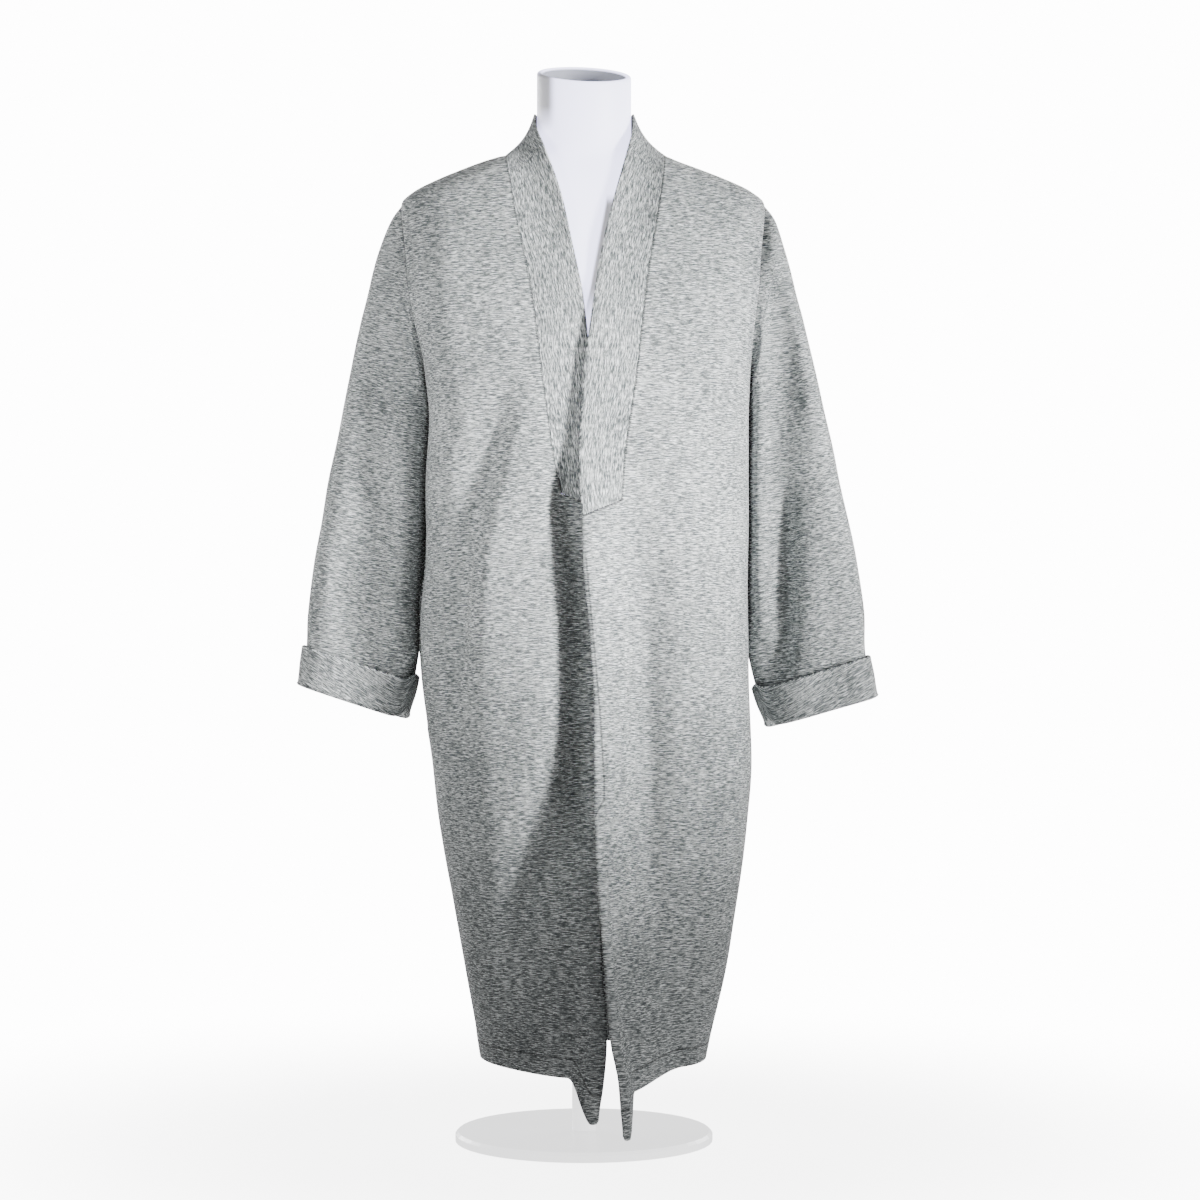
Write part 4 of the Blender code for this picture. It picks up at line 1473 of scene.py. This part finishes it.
    def _fold(self, grid: Array, normal: Array) -> tuple[Array, Array]:
        """The cuff's fold, from inside the sleeve's end, round under its rim.

        Args:
            grid: The sleeve's outer points.
            normal: Their outward directions.

        Returns:
            The fold's outer and inner rings.
        """
        rim, out = grid[-1], normal[-1]
        down = unit(rim - grid[-4])
        inside = rim - out * (KNIT + 0.9)
        outer = [inside - down * 5.0, inside - down * 2.5]
        inner = [ring + out * 0.6 for ring in outer]
        thick = KNIT + self.cuff_gap + KNIT
        shift = thick / 2 - 1.1 - 0.3
        for share in np.linspace(1, 0, 7)[:-1]:
            turned = share * math.pi
            low = math.sin(turned) * (thick / 2 + 0.6)
            outer.append(rim + out * (math.cos(turned) * (thick / 2 + 0.2) + shift) + down * low)
            inner.append(rim + out * (math.cos(turned) * 1.5 + shift) + down * max(low - 2.0, 0.35))
        return np.array(outer), np.array(inner)


# ---------------------------------------------------------------- finishes


def linear(code: str) -> tuple[float, float, float, float]:
    """A colour as the shader needs it.

    Args:
        code: The colour as sRGB hex.

    Returns:
        Red, green and blue in linear light, and alpha.
    """
    parts = [int(code[i : i + 2], 16) / 255 for i in (1, 3, 5)]
    red, green, blue = (c / 12.92 if c <= 0.04045 else ((c + 0.055) / 1.055) ** 2.4 for c in parts)
    return red, green, blue, 1.0


class Graph:
    """A material's nodes, added one after another."""

    def __init__(self, name: str) -> None:
        """Starts an empty material with a Principled shader.

        Args:
            name: The material's name.
        """
        self.material = bpy.data.materials.new(name)
        self.material.use_nodes = True
        self.tree = self.material.node_tree
        self.shader = self.tree.nodes["Principled BSDF"]

    def add(self, kind: str, inputs: Optional[dict] = None, **settings: object) -> bpy.types.Node:
        """Adds a node.

        Args:
            kind: The node's type.
            inputs: Values or sockets for its inputs, by name or number.
            settings: The node's own properties.

        Returns:
            The node.
        """
        node = self.tree.nodes.new(kind)
        for key, value in settings.items():
            setattr(node, key, value)
        for key, value in (inputs or {}).items():
            self.put(node.inputs[key], value)
        return node

    def put(self, socket: bpy.types.NodeSocket, value: object) -> None:
        """Sets a socket to a value, or links another socket to it.

        Args:
            socket: The socket.
            value: A value, or the socket to link.
        """
        if isinstance(value, bpy.types.NodeSocket):
            self.tree.links.new(value, socket)
        else:
            socket.default_value = value

    def dress(self, inputs: dict[str, object]) -> None:
        """Sets or links the shader's own inputs.

        Args:
            inputs: Values or sockets, by the inputs' names.
        """
        for name, value in inputs.items():
            self.put(self.shader.inputs[name], value)

    def relief(self, strength: float, distance: float, height: bpy.types.NodeSocket) -> None:
        """Gives the surface a fine relief.

        Args:
            strength: How strongly it shows.
            distance: How deep it is, in metres.
            height: Its heights.
        """
        inputs = {"Strength": strength, "Distance": distance, "Height": height}
        self.dress({"Normal": self.add("ShaderNodeBump", inputs).outputs[0]})

    def stored(self, label: str, output: str = "Fac") -> bpy.types.NodeSocket:
        """Values that are stored on the mesh."""
        node = self.add("ShaderNodeAttribute", attribute_name=label, attribute_type="GEOMETRY")
        return node.outputs[output]

    def objects_place(self) -> bpy.types.NodeSocket:
        """Places on the object, in metres."""
        return self.add("ShaderNodeTexCoord").outputs["Object"]

    def maths(self, operation: str, *values: object) -> bpy.types.NodeSocket:
        """The result of a Math node."""
        node = self.add("ShaderNodeMath", dict(enumerate(values)), operation=operation)
        return node.outputs[0]

    def spread(
        self, value: object, low: float, high: float, to_low: float = 0.0, to_high: float = 1.0
    ) -> bpy.types.NodeSocket:
        """A value moved smoothly from one range to another."""
        inputs = {"Value": value, "From Min": low, "From Max": high, "To Min": to_low, "To Max": to_high}
        return self.add("ShaderNodeMapRange", inputs, interpolation_type="SMOOTHSTEP").outputs[0]

    def noise(
        self, place: object, stretch: Place, detail: float = 2.0, rough: float = 0.5
    ) -> bpy.types.NodeSocket:
        """Noise with its cells stretched to a size.

        Args:
            place: The coordinates.
            stretch: Cells to a metre along each axis.
            detail: Finer layers.
            rough: How strong those layers are.

        Returns:
            The noise, from 0 to 1.
        """
        scaled = self.add("ShaderNodeVectorMath", {0: place, 1: stretch}, operation="MULTIPLY").outputs[0]
        inputs = {"Vector": scaled, "Scale": 1.0, "Detail": detail, "Roughness": rough}
        return self.add("ShaderNodeTexNoise", inputs, noise_dimensions="3D").outputs[0]

    def seen(self) -> bpy.types.NodeSocket:
        """1 for what the camera sees directly, 0 for what lights the rest."""
        return self.add("ShaderNodeLightPath").outputs["Is Camera Ray"]

    def grain(self, place: object, roughness: float, strength: float) -> None:
        """Gives a smooth surface a fine grain.

        Args:
            place: The coordinates.
            roughness: How dull it is, with a little more or less in the grain.
            strength: How strongly its relief shows.
        """
        fine = self.noise(place, (900.0, 900.0, 900.0))
        self.dress({"Roughness": self.spread(fine, 0.3, 0.7, roughness - 0.04, roughness + 0.04)})
        self.relief(strength, 0.0002, fine)

    def mix(
        self, share: object, first: object, second: object, blend: str = "MIX"
    ) -> bpy.types.NodeSocket:
        """One colour mixed with another.

        Args:
            share: How much of the second one.
            first: The first colour.
            second: The second colour.
            blend: How they are mixed.

        Returns:
            The mixed colour.
        """
        node = self.add("ShaderNodeMix", data_type="RGBA", blend_type=blend)
        self.put(node.inputs[0], share)
        self.put(node.inputs[6], first)
        self.put(node.inputs[7], second)
        return node.outputs[2]


@dataclass(frozen=True)
class HeatherKnit:
    """Grey heather sweatshirt knit: pale and dark fibres in short streaks, a soft nap, and
    the fine lines of its seams and stitching.

    Attributes:
        name: The material's name.
        dark, middle, light: The fibres' colours.
        streak: A streak's length and height in millimetres.
        weights: The shares of streaks, hairs, broad streaks, specks and clouds.
        contrast: Their sum where the fibres are darkest and where they are palest.
        seam_shade: How dark the seam's line is, lighter where negative; on the cuffs this paints the top
            edge's highlight and shade.
        stitch_at: How far from the seam the topstitching runs, or 0 for none.
        hem_at: How far above the hem its stitching runs, or 0 for none.
        painted_cuff_shadow: How dark the painted shadow on the cloth just above the cuff's edge is.
        stitch_shade: How dark a stitch and the space beside it are.
        painted_rim_highlight: How much lighter the painted highlight along the band's folded edge is.
    """

    name: str
    dark: str = "#585D5E"
    middle: str = "#898E8F"
    light: str = "#F2F5F5"
    streak: Point = (8.4, 0.7)
    weights: tuple[float, ...] = (0.46, 0.26, 0.16, 0.05, 0.05)
    contrast: Point = (0.42, 0.572)
    seam_shade: float = 0.55
    stitch_at: float = 0.0
    hem_at: float = HEM_STITCH
    painted_cuff_shadow: float = 0.0
    stitch_shade: Point = (0.82, 0.95)
    painted_rim_highlight: float = 0.0

    def build(self) -> bpy.types.Material:
        """Makes the material.

        Returns:
            The material.
        """
        g = Graph(self.name)
        place = g.stored("weave", "Vector")
        long, tall = (1000 / size for size in self.streak)
        wander = g.noise(place, (22.0, 22.0, 1.0), 1.0)
        bent = g.add("ShaderNodeCombineXYZ", {"Y": g.maths("MULTIPLY", wander, 0.006)}).outputs[0]
        laid = g.add("ShaderNodeVectorMath", {0: place, 1: bent}, operation="ADD").outputs[0]
        layers = (
            g.noise(laid, (long, tall, 1.0), 2.0, 0.6),
            g.noise(laid, (long * 2.0, tall * 1.8, 1.0), 2.0, 0.6),
            g.noise(laid, (long * 0.45, tall * 0.5, 1.0), 1.0),
            g.noise(place, (380.0, 800.0, 1.0), 1.0),
            g.noise(place, (14.0, 18.0, 1.0)),
        )
        parts = [g.maths("MULTIPLY", layer, weight) for layer, weight in zip(layers, self.weights)]
        mixed = parts[0]
        for part in parts[1:]:
            mixed = g.maths("ADD", mixed, part)
        share = g.spread(mixed, *self.contrast)
        low = g.mix(g.spread(share, 0.0, 0.5), linear(self.dark), linear(self.middle))
        colour = g.mix(g.spread(share, 0.5, 1.0), low, linear(self.light))
        g.dress({
            "Base Color": g.mix(1.0, colour, self._lines(g, place), "MULTIPLY"),
            "Roughness": 0.92,
            "Specular IOR Level": 0.25,
            "Sheen Weight": 0.18,
            "Sheen Roughness": 0.5,
        })
        g.relief(0.35, 0.0006, share)
        return g.material

    def _lines(self, g: Graph, place: bpy.types.NodeSocket) -> bpy.types.NodeSocket:
        """The shade of the seam, its topstitching and the hem's stitching, with the painted highlights and
        shadows beside them.

        Args:
            g: The material's nodes.
            place: Places on the cloth.

        Returns:
            A grey that the cloth's colour is multiplied by.
        """
        seam, hem = g.stored("seam"), g.stored("hem")
        groove = g.spread(seam, 0.0003, 0.0016, 1 - self.seam_shade, 1.0)
        # A painted highlight just beside the seam's line.
        painted_seam_highlight = g.spread(seam, 0.0016, 0.003, 1.12, 1.0)
        # Painted shadow where the band's end leaves a gap.
        painted_slit_shadow = g.spread(seam, -0.0015, 0.0, 0.04, 1.0)
        shades = [groove, painted_seam_highlight, painted_slit_shadow]
        stitches = g.noise(place, (420.0, 420.0, 1.0), 0.0)
        dashed = g.spread(stitches, 0.4, 0.6, *self.stitch_shade)
        for distance, at in ((seam, self.stitch_at), (hem, self.hem_at)):
            if at:
                away = g.maths("ABSOLUTE", g.maths("SUBTRACT", distance, at * MM))
                shades.append(g.maths("MAXIMUM", g.spread(away, 0.0004, 0.0013), dashed))
        # Painted highlight along the band's folded edge.
        if self.painted_rim_highlight:
            shades.append(g.spread(hem, 0.0153, 0.0166, 1 + self.painted_rim_highlight, 1.0))
        # Painted shadow just above the cuff's edge.
        if self.painted_cuff_shadow:
            shades.append(g.spread(hem, 0.0, 0.006, 1 - self.painted_cuff_shadow, 1.0))
        shade = shades[0]
        for other in shades[1:]:
            shade = g.maths("MULTIPLY", shade, other)
        return g.add("ShaderNodeCombineColor", {0: shade, 1: shade, 2: shade}).outputs[0]


@dataclass(frozen=True)
class SmoothFinish:
    """A plain smooth surface with a painted glow, for the form's stand.

    Attributes:
        name: The material's name.
        colour: Its colour.
        shade: Its colour where it is a little uneven.
        roughness: How dull it is.
        coat: How strong its clear coat is.
        painted_glow: How strongly it glows in the camera's eye, as painted light.
    """

    name: str
    colour: str
    shade: str
    roughness: float
    coat: float = 0.0
    painted_glow: float = 0.0

    def build(self) -> bpy.types.Material:
        """Makes the material.

        Returns:
            The material.
        """
        g = Graph(self.name)
        place = g.objects_place()
        cloud = g.spread(g.noise(place, (9.0, 9.0, 9.0), 3.0), 0.35, 0.65)
        g.dress({
            "Base Color": g.mix(cloud, linear(self.colour), linear(self.shade)),
            "Coat Weight": self.coat,
            "Coat Roughness": 0.2,
            # Painted glow, which only the camera sees.
            "Emission Color": linear(self.colour),
            "Emission Strength": g.maths("MULTIPLY", g.seen(), self.painted_glow),
        })
        g.grain(place, self.roughness, 0.12)
        return g.material


@dataclass(frozen=True)
class FormFinish:
    """The form's white shell, with a painted glow on the chest and the neck's lit side.

    Attributes:
        name: The material's name.
        colour: Its colour.
        hollow: Its colour inside the neck, a darker painted shade.
        light: The colour of its painted glow.
        roughness: How dull it is.
        painted_glow: How strongly its lit side glows, as painted light seen only by the camera.
        edge: Where the painted glow stops beside the upper band, leaving painted shade: across, height and
            slope.
        edge_soft: From where to where that shade's edge fades.
        above: Heights between which the shade ends upwards.
        tip: Heights between which the painted glow comes back on the lowest part, and how strongly.
    """

    name: str
    colour: str = "#F4F4FB"
    hollow: str = "#C8CBDB"
    light: str = "#D6D6FB"
    roughness: float = 0.42
    painted_glow: float = 3.8
    edge: Place = (0.003, 0.841, 0.178)
    edge_soft: Point = (0.0015, 0.0055)
    above: Point = (0.97, 0.985)
    tip: Place = (0.85, 0.885, 0.75)

    def build(self) -> bpy.types.Material:
        """Makes the material.

        Returns:
            The material.
        """
        g = Graph(self.name)
        place = g.objects_place()
        across, _, up = g.add("ShaderNodeSeparateXYZ", {0: place}).outputs
        # Painted glow up to a slanted line beside the upper band and painted shade past it; the glow comes
        # back above and at the lowest part.
        start, height, slope = self.edge
        edge = g.maths("ADD", g.maths("MULTIPLY", g.maths("SUBTRACT", up, height), slope), start)
        lit = g.spread(g.maths("SUBTRACT", edge, across), *self.edge_soft)
        lit = g.maths("MAXIMUM", lit, g.spread(up, *self.above))
        lit = g.maths("MAXIMUM", lit, g.spread(up, *self.tip, 0.0))
        painted_glow_share = g.maths("MULTIPLY", g.stored("painted_glow_share"), lit)
        # Painted shade inside the neck, and the painted glow, which only the camera sees.
        g.dress({
            "Base Color": g.mix(g.stored("hollow"), linear(self.colour), linear(self.hollow)),
            "Emission Color": linear(self.light),
            "Emission Strength": g.maths("MULTIPLY", painted_glow_share, g.maths("MULTIPLY", g.seen(), self.painted_glow)),
        })
        g.grain(place, self.roughness, 0.1)
        return g.material


# Height, half width on the right and on the left, depth in front and behind, and squareness.
FORM_LEVELS = (
    (400, 118, 118, 70, 74, 2.3),
    (401, 129, 129, 78, 81, 2.3),
    (405, 139, 139, 84, 87, 2.3),
    (414, 147, 147, 89, 91, 2.3),
    (430, 151, 151, 92, 94, 2.3),
    (470, 154, 154, 94, 96, 2.3),
    (540, 150, 150, 90, 92, 2.3),
    (600, 136, 136, 84, 82, 2.3),
    (655, 126, 126, 82, 76, 2.3),
    (720, 132, 132, 90, 82, 2.3),
    (790, 148, 148, 107, 94, 2.3),
    (840, 154, 154, 113, 100, 2.3),
    (890, 160, 160, 104, 102, 2.3),
    (930, 167, 167, 91.5, 99, 2.3),
    (962, 175, 176, 79, 90, 2.28),
    (980, 175, 176, 71, 84, 2.26),
    (996, 163, 160, 64.5, 77, 2.25),
    (1008, 141, 136, 58.5, 70, 2.2),
    (1018, 110, 104, 53.5, 62, 2.15),
    (1026, 76, 74, 50.5, 56, 2.05),
    (1033, 58, 58, 50, 53, 2.0),
    (1042, 50.5, 50.5, 50, 50.5, 2.0),
    (1052, 49.5, 49.5, 50, 50, 2.0),
)


@dataclass
class DressForm:
    """The white form with its open neck, and its stand, whose solids keep their shape.

    Attributes:
        shell, lacquer: The finishes of the form and of its stand.
        around, rows: Points round each ring, and rings up the torso.
        power: How much closer the torso's rings stand at its foot.
        neck: The neck's half width and half depth.
        neck_levels: Heights, and slopes, of the neck's rings below its rim.
        top, slope, lean: The rim's height, and how it slopes to the front and to the side.
        wall, depth: The rim's thickness and how deep the neck is open.
        neck_shade: The height at which the painted shade on the neck's unlit side begins, and how softly.
        shade_side, shade_front: Where it ends, as shares of the neck's half width, and how
            softly; and the same towards the back.
    """

    shell: FormFinish = FormFinish("form_shell")
    # The stand's finish carries a painted glow, so that it reads nearly white.
    lacquer: SmoothFinish = SmoothFinish("stand_lacquer", "#F2F2F3", "#EEEEEF", 0.3, 0.4, 2.2)
    around: int = 112
    rows: int = 110
    power: float = 1.1
    neck: Point = (49.5, 50.0)
    neck_levels: tuple[Point, ...] = ((1066.0, 0.09), (1084.0, 0.2), (1102.0, 0.3))
    top: float = 1118.2
    slope: float = 0.33
    lean: float = 0.15
    wall: float = 5.5
    depth: float = 60.0
    neck_shade: Point = (1052.0, 22.0)
    shade_side: Point = (0.76, 0.2)
    shade_front: Point = (0.5, 40.0)

    def _ring(self, right: float, left: float, front: float, back: float, power: float) -> Array:
        """A level ring round the form's middle.

        Args:
            right: Its half width on the right.
            left: Its half width on the left.
            front: Its depth in front.
            back: Its depth behind.
            power: How square it is.

        Returns:
            The ring's points, at height 0.
        """
        x, y = oval(full_turn(self.around), power)
        width, deep = np.where(x > 0, left, right), np.where(y > 0, back, front)
        return np.stack([x * width, y * deep, 0 * x], axis=-1)

    def rings(self) -> Array:
        """The form's rings, up its outside, over the neck's rim and down its hole.

        Returns:
            The rings' points.
        """
        levels = np.array([self._ring(*row[1:]) + (0, 0, row[0]) for row in FORM_LEVELS])
        knots = running(np.linalg.norm(np.diff(levels, axis=0), axis=-1).mean(axis=1))
        torso = through(knots, levels, knots[-1] * np.linspace(0, 1, self.rows) ** self.power)
        half = self.wall / 2
        rows = [(0.0, height, slope) for height, slope in self.neck_levels]
        for turned in np.linspace(0, math.pi, 11):
            rows.append((half * (1 - np.cos(turned)), self.top - half + half * np.sin(turned), self.slope))
        rows += [(self.wall, self.top - 12, self.slope), (self.wall, self.top - self.depth, 0.0)]
        neck = []
        for inset, height, slope in rows:
            width, deep = self.neck[0] - inset, self.neck[1] - inset
            ring = self._ring(width, width, deep, deep, 2.0)
            ring[:, 2] = height + slope * ring[:, 1] - self.lean * slope * ring[:, 0]
            neck.append(ring)
        return np.concatenate([torso, np.array(neck)])

    def build(self, finish: bpy.types.Material) -> None:
        """Builds the form in place of its solid.

        Args:
            finish: Its material.
        """
        rings = self.rings()
        count, around = rings.shape[:2]
        ends = [list(range(around))[::-1], list(range((count - 1) * around, count * around))]
        quads = grid_quads(count, around, True).tolist()
        made = mesh_of("form_torso_shell", rings.reshape(-1, 3), quads + ends)
        bpy.ops.object.shade_smooth_by_angle(angle=math.radians(50))
        made.select_set(False)
        made.data.materials.append(finish)
        for label, values in zip(("painted_glow_share", "hollow"), self._light(rings)):
            store(made, label, values)
        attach(made, "root")
        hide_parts("form_torso")
        log.info("%s: %d faces", made.name, len(made.data.polygons))

    def _light(self, rings: Array) -> tuple[Array, Array]:
        """Where the form carries its painted glow, and where it is the neck's inside, painted darker as
        shade.

        Args:
            rings: The form's points.

        Returns:
            Two shares from 0 to 1 for each point.
        """
        number = np.arange(len(rings))[:, None] - (len(rings) - 2)
        hollow = soft_step(np.clip((number + 3) / 2.0, 0, 1)) * np.ones(rings.shape[:2])
        # Painted shade on the neck's unlit side, towards the front: the painted glow is taken away there.
        foot, rise = self.neck_shade
        neck = soft_step((rings[..., 2] - foot) / rise)
        start, spread = self.shade_side
        dim = 1 - soft_step((rings[..., 0] / self.neck[0] + start) / spread)
        level, depth = self.shade_front
        front = soft_step(level - rings[..., 1] / depth)
        return (1 - hollow) * (1 - neck * dim * front), hollow

    def dress(self, nodes: dict[str, bpy.types.Object]) -> None:
        """Builds the form, and gives the stand's solids their finish.

        Args:
            nodes: The part's solids by name.
        """
        self.build(self.shell.build())
        lacquer = self.lacquer.build()
        for name in ("form_post", "form_base"):
            nodes[name].data.materials.clear()
            nodes[name].data.materials.append(lacquer)
            log.info("%s: %s", name, lacquer.name)


# ---------------------------------------------------------------- studio


def set_light(data: bpy.types.Light, place: Place, aim: Place, scale: Place = (1.0, 1.0, 1.0)) -> None:
    """Stands a light in the scene.

    Args:
        data: The light.
        place: Where it stands.
        aim: What it points at.
        scale: How far its beam is stretched.
    """
    made = linked(data.name, data)
    made.location = place
    made.rotation_euler = (Vector(aim) - Vector(place)).to_track_quat("-Z", "Y").to_euler()
    made.scale = scale


@dataclass(frozen=True)
class Lamp:
    """A soft square light: where it stands, what it points at, its size and its power."""

    name: str
    place: Place
    aim: Place
    size: float
    power: float

    def build(self) -> None:
        """Adds the light."""
        data = bpy.data.lights.new(self.name, "AREA")
        data.shape, data.size, data.energy = "SQUARE", self.size, self.power
        set_light(data, self.place, self.aim)


@dataclass(frozen=True)
class Spot:
    """A light with a soft oval beam, which fades above and below the coat's middle.

    Attributes:
        name: Its name.
        place: Where it stands.
        aim: What it points at.
        radius: How large it is, which sets how soft its shadows are.
        power: Its power.
        cone: The beam's whole angle from top to bottom, in degrees.
        wide: How many times wider than tall the beam is.
    """

    name: str
    place: Place
    aim: Place
    radius: float
    power: float
    cone: float
    wide: float

    def build(self) -> None:
        """Adds the light."""
        data = bpy.data.lights.new(self.name, "SPOT")
        data.energy, data.shadow_soft_size = self.power, self.radius
        data.spot_size, data.spot_blend = math.radians(self.cone), 1.0
        set_light(data, self.place, self.aim, (self.wide, 1.0, 1.0))


@dataclass
class Studio:
    """The floor, the light and the camera.

    Attributes:
        spots, lamps: The lights.
        camera_place, lens: The camera's place and its lens, in millimetres.
        background, ambient: How bright the surround looks, and how much light it gives.
        floor_radius, floor_glow: The floor's size, and how brightly it shows.
        floor_fade: How far from its middle it begins and ends to fade out.
    """

    spots: tuple[Spot, ...] = (
        Spot("key", (2.06, -1.40, 0.72), (-0.15, -0.1, 0.70), 0.2, 990, 21.3, 1.0),
        Spot("fill", (-0.75, -2.7, 0.62), (-0.2, -0.05, 0.6), 0.35, 215, 14.0, 0.6),
        Spot("left", (-2.0, -1.5, 0.90), (0.0, -0.1, 0.77), 0.4, 310, 19.5, 2.6),
        Spot("neck", (2.0, -1.45, 1.15), (0.0, -0.05, 1.13), 0.2, 540, 8.5, 1.05),
    )
    lamps: tuple[Lamp, ...] = (
        Lamp("low", (1.9, -1.4, 0.3), (0, -0.1, 0.25), 0.5, 15),
        Lamp("back_right", (-1.7, 2.3, 1.2), (0, 0, 0.7), 1.2, 42),
        Lamp("back_left", (1.9, 2.1, 1.1), (0, 0, 0.7), 1.2, 30),
    )
    camera_place: Place = (0.0168, -3.15, 0.566)
    lens: float = 90.0
    background: float = 14.0
    ambient: float = 0.2
    floor_radius: float = 1.6
    floor_glow: float = 6.0
    floor_fade: Point = (0.25, 1.1)

    def build(self) -> None:
        """Adds everything."""
        for light in (*self.spots, *self.lamps):
            light.build()
        self._world()
        self._floor()
        self._camera()

    def _world(self) -> None:
        """A plain white surround, with less light from it than it shows."""
        world = bpy.data.worlds.new("surround")
        world.use_nodes = True
        tree = world.node_tree
        back = tree.nodes["Background"]
        back.inputs["Color"].default_value = (1, 1, 1, 1)
        path = tree.nodes.new("ShaderNodeLightPath")
        strength = tree.nodes.new("ShaderNodeMapRange")
        strength.inputs["To Min"].default_value = self.ambient
        strength.inputs["To Max"].default_value = self.background
        tree.links.new(path.outputs["Is Camera Ray"], strength.inputs["Value"])
        tree.links.new(strength.outputs[0], back.inputs["Strength"])
        bpy.context.scene.world = world

    def _floor(self) -> None:
        """A pale floor that fades out around the object."""
        bpy.ops.object.select_all(action="DESELECT")
        bpy.ops.mesh.primitive_circle_add(
            vertices=128, radius=self.floor_radius, fill_type="NGON", location=(0, 0, -0.0005)
        )
        floor = bpy.context.object
        floor.name = "floor"
        g = Graph("pale_floor")
        away = g.add("ShaderNodeVectorMath", {0: g.objects_place()}, operation="LENGTH").outputs["Value"]
        g.dress({
            "Base Color": linear("#F6F6F6"),
            "Roughness": 0.8,
            "Emission Color": (1, 1, 1, 1),
            "Emission Strength": g.maths("MULTIPLY", g.seen(), self.floor_glow),
            "Alpha": g.spread(away, *self.floor_fade, 1.0, 0.0),
        })
        floor.data.materials.append(g.material)

    def _camera(self) -> None:
        """The camera, level with the middle of the picture, in front of the coat."""
        data = bpy.data.cameras.new("camera")
        data.lens, data.sensor_width = self.lens, 36.0
        made = linked("camera", data)
        made.location = self.camera_place
        made.rotation_euler = (math.pi / 2, 0, 0)
        bpy.context.scene.camera = made


# ---------------------------------------------------------------- all of it


KNITS = (
    HeatherKnit("heather_body", stitch_shade=(0.4, 0.6)),
    # The bands carry a painted highlight along their folded edge.
    HeatherKnit("heather_band_right", seam_shade=0.5, stitch_at=5.0, painted_rim_highlight=0.35),
    HeatherKnit(
        "heather_band_left", seam_shade=0.85, stitch_at=4.5, stitch_shade=(0.9, 1.0), painted_rim_highlight=0.15
    ),
    # The sleeves carry a painted shadow just above the cuff.
    HeatherKnit("heather_sleeve_right", seam_shade=0.5, hem_at=0.0, painted_cuff_shadow=0.25),
    HeatherKnit("heather_sleeve_left", seam_shade=0.5, hem_at=0.0, painted_cuff_shadow=0.6),
    # Right cuff: painted highlight on its top edge and painted groove shade 3.5 mm above its fold; left
    # cuff: painted shade on its top edge.
    HeatherKnit("heather_cuff_right", seam_shade=-0.7, hem_at=3.5, stitch_shade=(0.55, 0.8)),
    HeatherKnit("heather_cuff_left", seam_shade=0.25, hem_at=0.0),
)


def write_sizes() -> None:
    """Brings the scene's view layer up to date.
    """
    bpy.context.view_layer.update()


def main() -> None:
    """Dresses the part and sets the studio."""
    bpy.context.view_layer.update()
    body = CoatBody()
    knits = {finish.name: finish.build() for finish in KNITS}
    BackPanel().build(body, knits["heather_body"])
    for side in Side:
        FrontPanel(side).build(body, knits["heather_body"])
        Band(side).build(body, knits[f"heather_band_{side.value}"])
        sleeve, cuff = knits[f"heather_sleeve_{side.value}"], knits[f"heather_cuff_{side.value}"]
        Sleeve(side, body).build(sleeve, cuff)
    DressForm().dress(frame["nodes"])
    Studio().build()
    write_sizes()


if __name__ == "__main__":
    main()
